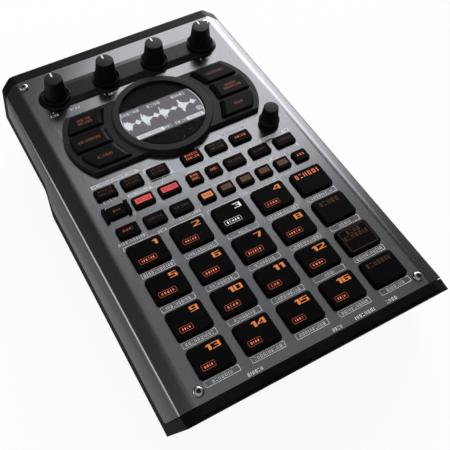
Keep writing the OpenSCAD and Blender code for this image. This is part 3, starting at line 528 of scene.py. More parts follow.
def tree_with(name, sockets):
    """A new geometry tree with named inputs, and a table of the inputs' identifiers."""
    tree = bpy.data.node_groups.new(name, "GeometryNodeTree")
    tree.interface.new_socket("Geometry", in_out="INPUT", socket_type="NodeSocketGeometry")
    tree.interface.new_socket("Geometry", in_out="OUTPUT", socket_type="NodeSocketGeometry")
    keys = {}
    for label, kind in sockets.items():
        socket = tree.interface.new_socket(label, in_out="INPUT", socket_type="NodeSocket" + kind)
        keys[label] = socket.identifier
    return tree, keys


def grown(name, mesh, tree, keys, values, body, edge=0):
    """Runs a geometry tree on a mesh with these inputs, and keeps what it makes as a plain piece."""
    piece = new_piece(name, mesh, None)
    modifier = piece.modifiers.new("shape", "NODES")
    modifier.node_group = tree
    for label, value in values.items():
        modifier[keys[label]] = value
    if edge:
        bevelled(piece, edge, 4, limit_method="ANGLE", angle_limit=math.radians(50), harden_normals=True)
    settle(piece)
    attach(piece, body)
    return piece


def ending(tree, geometry, finish):
    """Ends a geometry tree: instances are made real and get their finish."""
    real = add_node(tree, "GeometryNodeRealizeInstances", {0: geometry})
    coated = add_node(tree, "GeometryNodeSetMaterial", {"Geometry": real.outputs[0], "Material": finish})
    add_node(tree, "NodeGroupOutput", {0: coated.outputs[0]})


frame_tree, frame_keys = tree_with("pad_label_frames",
                                   {"Width": "Float", "Depth": "Float", "Line": "Float", "Corner": "Float",
                                    "Ink": "Material"})
inlet = add_node(frame_tree, "NodeGroupInput")
outline = add_node(frame_tree, "GeometryNodeCurvePrimitiveQuadrilateral",
                   {"Width": inlet.outputs["Width"], "Height": inlet.outputs["Depth"]})
eased = add_node(frame_tree, "GeometryNodeFilletCurve",
                 {"Curve": outline.outputs[0], "Radius": inlet.outputs["Corner"], "Count": 4,
                  "Limit Radius": True}, mode="POLY")
stroke = add_node(frame_tree, "GeometryNodeCurvePrimitiveQuadrilateral",
                  {"Width": inlet.outputs["Line"], "Height": 0.06 * mm})
ribbon = add_node(frame_tree, "GeometryNodeCurveToMesh",
                  {"Curve": eased.outputs[0], "Profile Curve": stroke.outputs[0]})
spots = add_node(frame_tree, "GeometryNodeMeshToPoints", {"Mesh": inlet.outputs["Geometry"]})
placed = add_node(frame_tree, "GeometryNodeInstanceOnPoints",
                  {"Points": spots.outputs[0], "Instance": ribbon.outputs[0]})
ending(frame_tree, placed.outputs[0], inlet.outputs["Ink"])

frame_spots = [((k - 2) * pad_pitch_x, y - frame_drop, panel_z) for y in pad_rows for k in range(5)]
spot_mesh = bpy.data.meshes.new("pad_label_spots")
spot_mesh.from_pydata(frame_spots, [], [])
frame_sizes = {"Width": 20.9 * mm, "Depth": 3.5 * mm, "Line": line_width * mm, "Corner": 0.4 * mm}
grown("pad_label_frames", spot_mesh, frame_tree, frame_keys, {**frame_sizes, "Ink": ink_pale}, "case")

# Cover screws
# Four button-head screws with a hexagon socket, turned from steel and polished bright.
# They pass through the cover into the front cap's lip and into posts on the rear cap.
screw_steel = plated_finish("polished_steel_screw", "#727376", "#9c9ea1", roughness=0.2, grain=0.5 * mm)
# A near-black finish for the socket bottoms, painted shade for the dark deep in each recess
socket_shade = moulded_finish("painted_socket_shade", "#0c0c0d", "#151516", roughness=0.5,
                              depth=0.01 * mm)
screw_low, screw_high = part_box("panel_screws")
head_top = screw_high.z
head_r = 3.1 * mm
head_flat = 1.25 * mm
head_foot = panel_z - 0.3 * mm
head_rim = panel_z + 0.15 * mm
socket_deep = 0.9 * mm
head_steps = 48


def ring_of(shape, radius, height, x=0, y=0, steps=head_steps):
    """Adds a ring of points round an upright axis. A radius given as a function follows the angle."""
    ring = []
    for i in range(steps):
        angle = 2 * math.pi * i / steps
        r = radius(angle) if callable(radius) else radius
        ring.append(shape.verts.new((x + r * math.cos(angle), y + r * math.sin(angle), height)))
    return ring


def bridge(shape, a, b):
    """Joins two rings of points by a band of faces. A ring of a single point is a pole."""
    steps = max(len(a), len(b))
    for i in range(steps):
        j = (i + 1) % steps
        corners = [a[i % len(a)], a[j % len(a)], b[j % len(b)], b[i % len(b)]]
        shape.faces.new(list(dict.fromkeys(corners)))


def closed_mesh(name, shape, rings):
    """The mesh of a closed form that runs through these rings and ends in two flat faces."""
    for a, b in zip(rings, rings[1:]):
        bridge(shape, a, b)
    shape.faces.new(rings[-1])
    shape.faces.new(rings[0][::-1])
    return mesh_of(name, shape)


def hexagon(angle):
    """The distance from the middle of the hexagon socket to its wall."""
    return head_flat / math.cos(angle % (math.pi / 3) - math.pi / 6)


def hexagon_fill(angle):
    """The same for the dark plate of painted shade at the bottom of the socket, which clears its wall a
    little.
    """
    return 0.97 * hexagon(angle)


head = bmesh.new()
rings = [ring_of(head, head_r, head_foot), ring_of(head, head_r, head_rim)]
for i in range(1, 7):
    angle = math.radians(12 * i)
    rise = (head_top - head_rim) * math.sin(angle) / math.sin(math.radians(72))
    rings.append(ring_of(head, head_r * math.cos(angle * 0.72), head_rim + rise))
rings.append(ring_of(head, hexagon, head_top))
rings.append(ring_of(head, hexagon, head_top - socket_deep))
head_mesh = closed_mesh("cover_screw_head", head, rings)
head_mesh.set_sharp_from_angle(angle=math.radians(40))
# A dark plate at the bottom of each socket is painted shade, for the shade deep in the hexagon recess
plug = bmesh.new()
plug_rings = [ring_of(plug, hexagon_fill, head_top - drop * mm) for drop in (0.89, 0.6)]
plug_mesh = closed_mesh("cover_screw_shade_plate", plug, plug_rings)

screw_tree, screw_keys = tree_with("four_cover_screws",
                                   {"Spread X": "Float", "Spread Y": "Float", "Place": "Vector",
                                    "Finish": "Material"})
inlet = add_node(screw_tree, "NodeGroupInput")
corners = add_node(screw_tree, "GeometryNodeMeshGrid",
                   {"Size X": inlet.outputs["Spread X"], "Size Y": inlet.outputs["Spread Y"],
                    "Vertices X": 2, "Vertices Y": 2})
spots = add_node(screw_tree, "GeometryNodeMeshToPoints", {"Mesh": corners.outputs[0]})
placed = add_node(screw_tree, "GeometryNodeInstanceOnPoints",
                  {"Points": spots.outputs[0], "Instance": inlet.outputs["Geometry"]})
moved = add_node(screw_tree, "GeometryNodeTransform",
                 {"Geometry": placed.outputs[0], "Translation": inlet.outputs["Place"]})
ending(screw_tree, moved.outputs[0], inlet.outputs["Finish"])
screw_sizes = {"Spread X": screw_high.x - screw_low.x - 2 * head_r,
               "Spread Y": screw_high.y - screw_low.y - 2 * head_r,
               "Place": ((screw_high.x + screw_low.x) / 2, (screw_high.y + screw_low.y) / 2, 0)}
screws = grown("cover_screws", head_mesh, screw_tree, screw_keys, {**screw_sizes, "Finish": screw_steel},
               "case")
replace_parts(screws, "panel_screws")
# The dark plates of painted shade go into the four sockets
grown("cover_screw_shade_plates", plug_mesh, screw_tree, screw_keys, {**screw_sizes, "Finish": socket_shade},
      "case")

# Knob plinth
# A raised black strip, moulded in gloss ABS and stuck to the cover, with a long slope at its rear and front.
# Its edges are rounded over, and it mirrors the light along its rear slope.
plinth_plastic = moulded_finish("black_gloss_abs", "#0a0a0b", "#0f0f10", roughness=0.3, depth=0.012 * mm,
                                shine=0.085)
plinth_edge = 0.5 * mm
rounded_copy("plinth_moulding", "knob_plinth", "case", plinth_plastic, plinth_edge, sharp=20)

# Display pod
# A black satin ABS bridge over the cover, with a raised ring round the display and windows for six buttons.
# It is stuck to the cover, and its upper edges are rounded by just under half a millimetre.
pod_plastic = moulded_finish("black_satin_abs", "#1c1c1d", "#242425", roughness=0.36, depth=0.02 * mm,
                             shine=0.05)
pod_edge_r = 0.4 * mm


def pod_edge(edge):
    """Rounds only what stands above the cover."""
    a, b = (v.co for v in edge.verts)
    return pod_edge_r if min(a.z, b.z) > panel_z + 0.5 * mm else 0.0


rounded_copy("display_pod_moulding", "display_pod", "case", pod_plastic, pod_edge, sharp=30)

# Display lens, mask and picture
# A clear acrylic disc with a black mask printed behind it leaves a wide window over the display.
# The display shows a pale drawing of four struck sounds on grey, which glows by itself.


def glow_finish(name, colour, strength=1.0):
    """A surface that is lit from behind, a little uneven where the lamp behind it is."""
    finish, tree, place = blank_finish(name)
    cloud = add_node(tree, "ShaderNodeTexNoise", {"Vector": place, "Scale": 1 / (6 * mm), "Detail": 2.0})
    dim = tuple(0.82 * v for v in hex_colour(colour)[:3]) + (1.0,)
    shade = add_node(tree, "ShaderNodeMix", {0: cloud.outputs["Fac"], 6: dim, 7: hex_colour(colour)},
                     data_type="RGBA")
    shader = add_node(tree, "ShaderNodeBsdfPrincipled",
                      {"Base Color": hex_colour("#0a0a0a"), "Roughness": 0.5, "IOR": 1.45,
                       "Specular IOR Level": 0.1, "Emission Color": shade.outputs[2],
                       "Emission Strength": strength})
    add_node(tree, "ShaderNodeOutputMaterial", {"Surface": shader.outputs[0]})
    return finish


def clear_finish(name):
    """Clear acrylic: it only adds a faint sharp reflection to what lies behind it."""
    finish, tree, place = blank_finish(name)
    dust = add_node(tree, "ShaderNodeTexNoise", {"Vector": place, "Scale": 1 / (3 * mm), "Detail": 4.0})
    gloss = add_node(tree, "ShaderNodeMapRange", {0: dust.outputs["Fac"], 3: 0.03, 4: 0.09})
    shader = add_node(tree, "ShaderNodeBsdfPrincipled",
                      {"Base Color": hex_colour("#050505"), "Roughness": gloss.outputs[0], "IOR": 1.49,
                       "Alpha": 0.01})
    add_node(tree, "ShaderNodeOutputMaterial", {"Surface": shader.outputs[0]})
    return finish


dress("display_lens", clear_finish("clear_acrylic_lens"))
screen_low, screen_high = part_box("display_module")
window = (screen_low + screen_high) / 2
screen_z = screen_high.z
screen_r = 28.4 * mm
picture_low = -14.5 * mm
picture_high = 12.8 * mm
lit_low = screen_z + 0.05 * mm
lit_high = screen_z + 0.1 * mm
shade_high = lit_high + 0.02 * mm


def clipped_band(y0, y1, radius, steps=24):
    """The outline of the part of a disc that lies between two heights."""
    right = []
    for i in range(steps + 1):
        y = y0 + (y1 - y0) * i / steps
        right.append((math.sqrt(max(radius * radius - y * y, 0)), y))
    left = [(-x, y) for x, y in reversed(right)]
    return [(window.x + x, window.y + y) for x, y in right + left]


mask_ink = moulded_finish("black_mask_ink", "#060607", "#09090a", roughness=0.35, depth=0.005 * mm,
                          shine=0.01)
mask = bmesh.new()
for y0, y1 in ((picture_high, 0.999 * screen_r), (-0.999 * screen_r, picture_low)):
    slab(mask, clipped_band(y0, y1, screen_r), screen_z - 0.3 * mm, screen_z + 0.1 * mm)
shape_piece("display_mask", mask, mask_ink, "case")
backlight = bmesh.new()
slab(backlight, clipped_band(picture_low - 0.2 * mm, picture_high + 0.2 * mm, screen_r), screen_z,
     screen_z + 0.06 * mm)
shape_piece("display_backlight", backlight, glow_finish("display_grey_glow", "#666369"), "case")

drawing = bmesh.new()
wave_y = 0.4
wave_starts = (-28.0, -14.6, -1.4, 12.5)
wave_span = 13.4
strike_span = 7
column = 0.6
jag_chance = random.Random(4)
# How far a struck sound swings up and down along its seven millimetres, then the small swell that follows
swing = [(0.0, 2.4, 1.4), (0.1, 3.6, 3.2), (0.22, 5.4, 5.4), (0.32, 4.6, 6.4), (0.45, 3.0, 4.2),
         (0.62, 1.9, 2.6), (0.8, 1.0, 1.2), (1.0, 0.35, 0.35), (1.12, 0.3, 0.3), (1.3, 1.3, 1.1),
         (1.45, 2.0, 1.7), (1.6, 1.0, 1.1), (1.75, 0.25, 0.25), (1.93, 0.2, 0.2)]


def swing_at(t):
    """The swing up and down at a share of the sound's length, read between the named steps."""
    for (t0, up0, down0), (t1, up1, down1) in zip(swing, swing[1:]):
        if t <= t1:
            k = (t - t0) / (t1 - t0)
            return up0 + (up1 - up0) * k, down0 + (down1 - down0) * k
    return swing[-1][1:]


def lit_bar(x0, y0, x1, y1):
    """Adds a lit rectangle to the drawing, in millimetres from the middle of the window."""
    bar(drawing, window.x + x0 * mm, window.y + y0 * mm, window.x + x1 * mm, window.y + y1 * mm, lit_low,
        lit_high)


def window_words(shape, x, y, wide, tall, low, high, beat, gap):
    """Adds a hinted word in the window, in millimetres from its middle."""
    hint_words(shape, window.x + x * mm, window.y + y * mm, wide * mm, tall * mm, low, high, beat, gap)


for start in wave_starts:
    for i in range(int(wave_span / column)):
        x = start + i * column
        jag = jag_chance.uniform(0.55, 1.4)
        up, down = swing_at(i * column / strike_span)
        reach = math.sqrt(max((screen_r / mm - 0.6) ** 2 - x * x, 0))
        if reach > 1.0 and x + column < screen_r / mm - 0.4:
            lit_bar(x, max(wave_y - down * jag, -reach), x + column, min(wave_y + up * jag, reach))
for x, wide in ((-19.2, 12.4), (-1.9, 9.2), (16.7, 9.6)):
    window_words(drawing, x, 9.9, wide, 2.4, lit_low, lit_high, int(x) % 4, 0.42)
lit_bar(-24.4, -13.4, -4.7, -10.4)
lit_bar(12.1, -13.4, 24.6, -10.4)
for x, wide in ((-1.8, 4.6), (7.4, 7.8)):
    window_words(drawing, x, -11.9, wide, 2.1, lit_low, lit_high, 2, 0.42)
outline_box(drawing, window.x + 22.6 * mm, window.y - 8.4 * mm, window.x + 26.2 * mm, window.y - 5.2 * mm,
            0.5 * mm, lit_low, lit_high)
lit_bar(23.8, -7.3, 25.0, -6.3)
# Thin lit arcs at the left and right rim, laid in short steps of an angle in degrees
arc_step = 3
arc_corners = ((0.2, 0), (0.2, arc_step), (0.6, arc_step), (0.6, 0))
for first, last in ((-29, 25), (154, 209)):
    for angle in range(first, last, arc_step):
        arc = [(screen_r - inset * mm, math.radians(angle + step)) for inset, step in arc_corners]
        slab(drawing, [(window.x + r * math.cos(a), window.y + r * math.sin(a)) for r, a in arc], lit_low,
             lit_high)
shape_piece("display_drawing", drawing, glow_finish("display_pale_glow", "#dfe6e8"), "case")
shade_words = bmesh.new()
for x, wide in ((-14.5, 16), (18.4, 9)):
    window_words(shade_words, x, -11.9, wide, 1.7, lit_high, shade_high, 1, 0.38)
shape_piece("display_bar_words", shade_words, glow_finish("display_shaded_glow", "#77757b"), "case")

# Effect buttons
# Six keys of dark grey ABS in the pod, each with a lamp behind a legend that is left clear in black paint.
# The edge round each top is rounded, and their inner ends slope down towards the ring.
effect_plastic = moulded_finish("dark_grey_abs_key", "#0b0b0c", "#111112", roughness=0.36,
                                depth=0.015 * mm, shine=0.018)
legend_dim = glow_finish("legend_dim_amber", "#7a4420")
legend_half = 0.02 * mm
effect_edge_r = 0.6 * mm
effect_word = 2.0 * mm
effect_word_pitch = 2.9 * mm
effect_word_out = 1.2 * mm
crown_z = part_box("fx_button_1")[1].z
# How wide the lines of each button's legend are, in millimetres
effect_words = {1: (9, 9.5), 2: (15,), 3: (10,), 4: (14,), 5: (8, 13), 6: (6,)}


def effect_edge(edge):
    """Rounds the edge round a button's top, and leaves the slope and the stem as they are."""
    a, b = (v.co for v in edge.verts)
    return effect_edge_r if min(a.z, b.z) > crown_z - 0.02 * mm else 0.0


def spot_of(node):
    """A node's top, and the middle of the node seen from above."""
    low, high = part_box(node)
    return high.z, (low.x + high.x) / 2, (low.y + high.y) / 2


for number in range(1, 7):
    name = f"fx_button_{number}"
    top, x, y = spot_of(name)
    rounded_copy(name + "_cap", name, name, effect_plastic, effect_edge, sharp=20)
    legend = bmesh.new()
    outward = -effect_word_out if number < 4 else effect_word_out
    lines = effect_words[number]
    for line, wide in enumerate(lines):
        shift = (0.5 * (len(lines) - 1) - line) * effect_word_pitch
        hint_words(legend, x + outward, y + shift, wide * mm, effect_word, top - legend_half,
                   top + legend_half, number + line)
    shape_piece(name + "_legend", legend, legend_dim, name)

# Rotary knobs
# Four control knobs moulded over in soft black rubber: a dished skirt with a rim, a taper and a flat top.
# A white line is painted on the top of each, at the edge that points to the rear.
knob_rubber = moulded_finish("black_soft_rubber", "#080809", "#0e0e0f", roughness=0.48, depth=0.02 * mm,
                             shine=0.08)
pointer_white = ink_finish("white_pointer_paint", "#f2f2f0", 0.45)
pointer_half = 0.5 * mm
pointer_start = 2.0 * mm
pointer_end = 5.45 * mm


def turned(name, profile, x, y, finish, body, steps=96):
    """A piece turned round an upright axis from a profile of (radius, height), from its foot to its top."""
    shape = bmesh.new()
    rings = []
    for radius, height in profile:
        rings.append(ring_of(shape, radius, height, x, y, steps if radius else 1))
    for a, b in zip(rings, rings[1:]):
        bridge(shape, a, b)
    return shape_piece(name, shape, finish, body)


def rounding(points, centre, radius, start, end, steps=4):
    """Adds an arc to a profile, from one angle to another in degrees."""
    for i in range(steps + 1):
        angle = math.radians(start + (end - start) * i / steps)
        points.append((centre[0] + radius * math.cos(angle), centre[1] + radius * math.sin(angle)))


def knob_profile(z0, z1, skirt, skirt_high, dish, waist, top, edge):
    """A knob's profile: a skirt with a rounded rim, a dish inside it, a taper and a rounded top edge."""
    rim = 0.45 * mm
    foot_ease = 0.3 * mm
    points = [(0, z0), (skirt - foot_ease, z0), (skirt, z0 + foot_ease)]
    rounding(points, (skirt - rim, z0 + skirt_high - rim), rim, 0, 180 if dish else 90)
    foot = z0 + skirt_high - dish
    fillet = 0.4 * mm
    rounding(points, (waist + fillet, foot + fillet), fillet, 270, 180)
    rounding(points, (top - edge, z1 - edge), edge, 0, 90, 6)
    return points + [(0, z1)]


for number in range(1, 5):
    name = f"knob_{number}"
    top, x, y = spot_of(name)
    low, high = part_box(name)
    profile = knob_profile(panel_z + 2.4 * mm, top - 0.04 * mm, skirt=(high.x - low.x) / 2,
                           skirt_high=1.9 * mm, dish=1.1 * mm, waist=7.75 * mm, top=6.05 * mm, edge=0.5 * mm)
    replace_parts(turned(name + "_cap", profile, x, y, knob_rubber, name), name)
    pointer = bmesh.new()
    bar(pointer, x - pointer_half, y + pointer_start, x + pointer_half, y + pointer_end, top - 0.2 * mm, top)
    shape_piece(name + "_pointer", pointer, pointer_white, name)

# Menu encoder
# A slimmer knob of the same rubber without a pointer, because it turns for ever and is pressed to choose.
# It is pushed on a round shaft of drawn aluminium, which has a faint streak along it.
dress("encoder_shaft", plated_finish("drawn_aluminium_shaft", "#8d8f93", "#b9bbbf", roughness=0.3,
                                     grain=0.5 * mm))
top, x, y = spot_of("encoder_knob")
low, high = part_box("encoder_knob")
profile = knob_profile(low.z, top, skirt=(high.x - low.x) / 2, skirt_high=2.6 * mm, dish=0, waist=5.9 * mm,
                       top=4.9 * mm, edge=0.6 * mm)
encoder = turned("encoder_cap", profile, x, y, knob_rubber, "encoder_knob")
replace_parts(encoder, "encoder_knob")

# Pads
# Twenty silicone pads stand up through the cover, sixteen of them numbered, and a lamp lights each legend.
# Silicone is nearly black here, with a soft sheen that is brightest along the rounded upper edges.
block_tree, block_keys = tree_with("rounded_blocks",
                                   {"Wide": "Float", "Narrow": "Float", "Depth": "Float", "Height": "Float",
                                    "Corner": "Float", "Finish": "Material"})
inlet = add_node(block_tree, "NodeGroupInput")
spots = add_node(block_tree, "GeometryNodeMeshToPoints", {"Mesh": inlet.outputs["Geometry"]})
narrow = add_node(block_tree, "GeometryNodeInputNamedAttribute", {"Name": "narrow"}, data_type="BOOLEAN")
wide_ones = add_node(block_tree, "FunctionNodeBooleanMath", {0: narrow.outputs["Attribute"]},
                     operation="NOT")
both = add_node(block_tree, "GeometryNodeJoinGeometry")
for label, chosen in (("Wide", wide_ones.outputs[0]), ("Narrow", narrow.outputs["Attribute"])):
    outline = add_node(block_tree, "GeometryNodeCurvePrimitiveQuadrilateral",
                       {"Width": inlet.outputs[label], "Height": inlet.outputs["Depth"]})
    eased = add_node(block_tree, "GeometryNodeFilletCurve",
                     {"Curve": outline.outputs[0], "Radius": inlet.outputs["Corner"], "Count": 6,
                      "Limit Radius": True}, mode="POLY")
    flat = add_node(block_tree, "GeometryNodeFillCurve", {"Curve": eased.outputs[0]}, mode="NGONS")
    raised = add_node(block_tree, "GeometryNodeExtrudeMesh",
                      {"Mesh": flat.outputs[0], "Offset Scale": inlet.outputs["Height"],
                       "Individual": False})
    under = add_node(block_tree, "GeometryNodeFlipFaces", {"Mesh": flat.outputs[0]})
    shell = add_node(block_tree, "GeometryNodeJoinGeometry", {0: raised.outputs[0]})
    block_tree.links.new(under.outputs[0], shell.inputs[0])
    closed = add_node(block_tree, "GeometryNodeMergeByDistance",
                      {"Geometry": shell.outputs[0], "Distance": 0.001 * mm})
    placed = add_node(block_tree, "GeometryNodeInstanceOnPoints",
                      {"Points": spots.outputs[0], "Instance": closed.outputs[0], "Selection": chosen})
    block_tree.links.new(placed.outputs[0], both.inputs[0])
ending(block_tree, both.outputs[0], inlet.outputs["Finish"])


def rubber_blocks(name, places, narrow_ones, sizes, finish, body, edge):
    """Rounded blocks of rubber that stand on these places, as one piece for a body."""
    mesh = bpy.data.meshes.new(name + "_places")
    mesh.from_pydata(places, [], [])
    chosen = mesh.attributes.new("narrow", "BOOLEAN", "POINT")
    for i, value in enumerate(narrow_ones):
        chosen.data[i].value = value
    return grown(name, mesh, block_tree, block_keys, {**sizes, "Finish": finish}, body, edge)


pad_silicone = moulded_finish("black_silicone_pad", "#050505", "#080808", roughness=0.5,
                              depth=0.015 * mm, shine=0.012)
legend_orange = glow_finish("legend_lit_orange", "#e28446")
legend_red = glow_finish("legend_lit_red", "#c85c40")
legend_bright = glow_finish("legend_bright_red", "#ff926c", 1.5)
legend_coal = glow_finish("legend_lit_coal", "#f27c50")
legend_glare = glow_finish("legend_bright_white", "#ffffff", 2.0)
legend_white = glow_finish("legend_lit_white", "#f4f2ee")
# The brown of unlit legends is a painted glow: they shine by themselves though no lamp is lit behind them
legend_brown_glow = glow_finish("legend_unlit_brown_glow", "#4a2a18")
pad_sizes = {"Wide": 22.3 * mm, "Narrow": 22.3 * mm, "Depth": 18 * mm, "Corner": 2.2 * mm}
pad_edge = 0.9 * mm
figure_right = 7.9 * mm
figure_low = 3.0 * mm
figure_wide = 5.0 * mm
figure_tall = 3.45 * mm
figure_gap = 0.5 * mm
pill_left = -8.0 * mm
pill_low = -5.8 * mm
pill_high = -2.4 * mm
pill_line = 0.18 * mm
pill_ease = 0.25 * mm
pill_word = 1.2 * mm
pill_margin = 3.2 * mm
side_frame_x = 9.6 * mm
side_frame_y = 7.4 * mm
side_frame_line = 0.3 * mm
side_frame_ease = 0.6 * mm

# The strokes of each figure on a field of ten by ten: (left, low, right, high), or a list of corners
digit_strokes = {
    "0": [(0, 0, 2.8, 10), (7.2, 0, 10, 10), (2.8, 8.7, 7.2, 10), (2.8, 0, 7.2, 1.3)],
    "1": [[(3.6, 7.4), (6.2, 10), (10, 10), (10, 0), (6.6, 0), (6.6, 7.4)]],
    "2": [(0, 8.7, 7.2, 10), (7.2, 5.6, 10, 10), [(7.2, 5.6), (10, 5.6), (3.8, 1.3), (0, 1.3)],
          (0, 0, 10, 1.3)],
    "3": [(0, 8.7, 7.2, 10), (3.2, 4.5, 7.2, 5.7), (0, 0, 7.2, 1.3), (7.2, 0, 10, 10)],
    "4": [(7.0, 0, 10, 10), (0, 2, 7.0, 3.2), [(7.0, 10), (5.4, 10), (0, 3.2), (2.0, 3.2), (7.0, 8.6)]],
    "5": [(0, 8.7, 10, 10), (0, 5, 2.8, 8.7), (2.8, 5, 7.2, 6.2), (7.2, 0, 10, 6.2), (0, 0, 7.2, 1.3)],
    "6": [(0, 0, 2.8, 10), (2.8, 8.7, 10, 10), (2.8, 4.8, 7.2, 6), (7.2, 0, 10, 6), (2.8, 0, 7.2, 1.3)],
    "7": [(0, 8.7, 10, 10), [(6.8, 8.7), (10, 8.7), (6.6, 0), (3.4, 0)]],
    "8": [(0, 0, 2.8, 10), (7.2, 0, 10, 10), (2.8, 8.7, 7.2, 10), (2.8, 4.4, 7.2, 5.6), (2.8, 0, 7.2, 1.3)],
    "9": [(7.2, 0, 10, 10), (2.8, 8.7, 7.2, 10), (0, 4, 2.8, 10), (2.8, 4, 7.2, 5.2), (0, 0, 7.2, 1.3)],
}


def figures(shape, text, right, low, z0, z1):
    """Adds a number in broad plain figures, with its lower right corner at a point."""
    for digit in reversed(text):
        left = right - figure_wide
        for corners in digit_strokes[digit]:
            if isinstance(corners, tuple):
                x0, y0, x1, y1 = corners
                corners = [(x0, y0), (x1, y0), (x1, y1), (x0, y1)]
            placed = [(left + px * figure_wide / 10, low + py * figure_tall / 10) for px, py in corners]
            slab(shape, placed, z0, z1)
        right = left - figure_gap + (0.34 * figure_wide if digit == "1" else 0.0)


# How wide the outline round each numbered pad's word is, and the side pads' words: middle, width, height
pill_widths = {1: 11, 2: 10.2, 3: 11.3, 4: 9.8, 5: 11, 6: 10, 7: 11.3, 8: 10.3, 10: 9.5, 12: 9.5}
side_words = {"side_pad_1": [(-0.3, 4.7, 16.5, 3.2)], "side_pad_2": [(-0.5, 4.7, 13, 3.0)],
              "side_pad_3": [(-0.1, 5.0, 9, 2.6), (-0.4, 1.6, 16, 2.6)],
              "side_pad_4": [(-0.3, 4.7, 16, 2.8)]}
pads = [f"pad_{i}" for i in range(1, 17)] + list(side_words)
for pad in pads:
    top, x, y = spot_of(pad)
    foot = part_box(pad)[0].z
    cap = rubber_blocks(pad + "_cap", [(x, y, foot)], [False], {**pad_sizes, "Height": top - foot},
                        pad_silicone, pad, pad_edge)
    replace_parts(cap, pad)
    z0 = top - legend_half
    z1 = top + legend_half
    legend = bmesh.new()
    if pad in side_words:
        for shift_x, shift_y, wide, tall in side_words[pad]:
            hint_words(legend, x + shift_x * mm, y + shift_y * mm, wide * mm, tall * mm, z0, z1, 3)
        if pad == "side_pad_3":
            outline_box(legend, x - side_frame_x, y - side_frame_y, x + side_frame_x, y + side_frame_y,
                        side_frame_line, z0, z1, side_frame_ease)
        # Side pads that are not lit get the brown painted glow
        shape_piece(pad + "_legend", legend, legend_coal if pad == "side_pad_1" else legend_brown_glow, pad)
        continue
    number = int(pad[4:])
    lit_white = number == 3
    numeral = bmesh.new()
    figures(numeral, str(number), x + figure_right, y + figure_low, z0, z1)
    shape_piece(pad + "_number", numeral, legend_white if lit_white else legend_orange, pad)
    wide = pill_widths.get(number, 8.0) * mm
    left = x + pill_left
    outline_box(legend, left, y + pill_low, left + wide, y + pill_high, pill_line, z0, z1, pill_ease)
    shape_piece(pad + "_legend", legend, legend_white if lit_white else legend_red, pad)
    word = bmesh.new()
    hint_words(word, left + wide / 2, y + (pill_low + pill_high) / 2, wide - pill_margin, pill_word, z0, z1,
               number, 0.8)
    shape_piece(pad + "_word", word, legend_glare if lit_white else legend_bright, pad)

# Keys
# Twenty-three small keys of the same silicone, in groups moulded together on a common strip under the cover.
# Some are lit, and seven carry a filled window with a word left dark in it.
key_silicone = moulded_finish("black_silicone_key", "#050505", "#090909", roughness=0.48,
                              depth=0.015 * mm, shine=0.015)
legend_coral = glow_finish("legend_filled_coral", "#e8504e")
legend_amber = glow_finish("legend_filled_amber", "#e48c4c")
legend_umber = glow_finish("legend_filled_umber", "#5a3c22")
legend_paint = ink_finish("legend_black_paint", "#2a1511", 0.5)
legend_ember = glow_finish("legend_lit_ember", "#8a4426")
legend_rust = glow_finish("legend_lit_rust", "#a85430")
key_wide = 14
key_sizes = {"Wide": key_wide * mm, "Depth": 8.4 * mm, "Corner": 1.3 * mm}
key_edge = 0.7 * mm
key_word = 1.6 * mm
key_word_pitch = 2.6
filled_word = 1.7 * mm
filled_margin = 1.6
filled_low = -1.7 * mm
filled_high = 2.1 * mm
key_lines = {"rear": 13.65 * mm, "middle": -2.05 * mm, "front": -17.75 * mm}
# Each group's keys, as middle and width in millimetres
left_keys = [(-60.5, key_wide), (-42.45, key_wide), (-24.4, key_wide)]
key_spots = {
    "keys_left_rear": left_keys,
    "keys_right_rear": [(0, key_wide), (18.05, key_wide), (36.1, key_wide)],
    "keys_left_middle": [(-60.5, 11.8), *left_keys[1:]],
    "keys_right_middle": [(-6.5, 10), (7.2, 10), (22.6, key_wide), (41.3, key_wide), (60, key_wide)],
    "keys_left_front": left_keys,
    "keys_right_front": [(-6.5 + 13.72 * k, 10) for k in range(6)],
}
# By group and by place in it: which words are lit, which are short, which have two lines, which are filled
lit_words = {
    "keys_right_rear": {0: legend_coal, 2: legend_coal},
    "keys_left_middle": {0: legend_ember},
    "keys_right_middle": {0: legend_coal, 1: legend_coal},
    "keys_left_front": {0: legend_rust},
    "keys_right_front": {5: legend_coal},
}
short_words = {"keys_left_middle": {0: 4.6}, "keys_left_front": {0: 6.4}, "keys_right_rear": {2: 7.6}}
two_lines = {"keys_left_rear": (0, 1, 2), "keys_right_rear": (0, 1), "keys_right_middle": (0,)}
filled = {
    "keys_left_middle": {1: legend_coral, 2: legend_coral},
    "keys_right_front": {0: legend_amber, 1: legend_umber, 2: legend_umber, 3: legend_umber,
                         4: legend_umber},
}
for group, keys in key_spots.items():
    low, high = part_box(group)
    y = key_lines[group.split("_")[-1]]
    narrowest = min(wide for x, wide in keys)
    caps = rubber_blocks(group + "_caps", [(x * mm, y, low.z) for x, wide in keys],
                         [wide < key_wide for x, wide in keys],
                         {**key_sizes, "Narrow": narrowest * mm, "Height": high.z - low.z}, key_silicone,
                         group, key_edge)
    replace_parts(caps, group)
    z0 = high.z - legend_half
    z1 = high.z + legend_half
    for i, (x, wide) in enumerate(keys):
        legend = bmesh.new()
        if i in filled.get(group, {}):
            colour = filled[group][i]
            half = wide / 2 - filled_margin
            bar(legend, (x - half) * mm, y + filled_low, (x + half) * mm, y + filled_high, z0, z1)
            word = bmesh.new()
            hint_words(word, x * mm, y + 0.2 * mm, (wide - 5.6) * mm, filled_word, z1, z1 + legend_half, i)
            shape_piece(f"{group}_{i}_word", word, legend_paint, group)
        else:
            # Words that are not lit get the brown painted glow
            colour = lit_words.get(group, {}).get(i, legend_brown_glow)
            lines = 2 if i in two_lines.get(group, ()) else 1
            word_wide = short_words.get(group, {}).get(i, wide - 5.2) * mm
            for line in range(lines):
                shift = 0.3 + (0.5 * (lines - 1) - line) * key_word_pitch
                hint_words(legend, x * mm, y + shift * mm, word_wide, key_word, z0, z1, i + line, 0.5)
        shape_piece(f"{group}_{i}_legend", legend, colour, group)

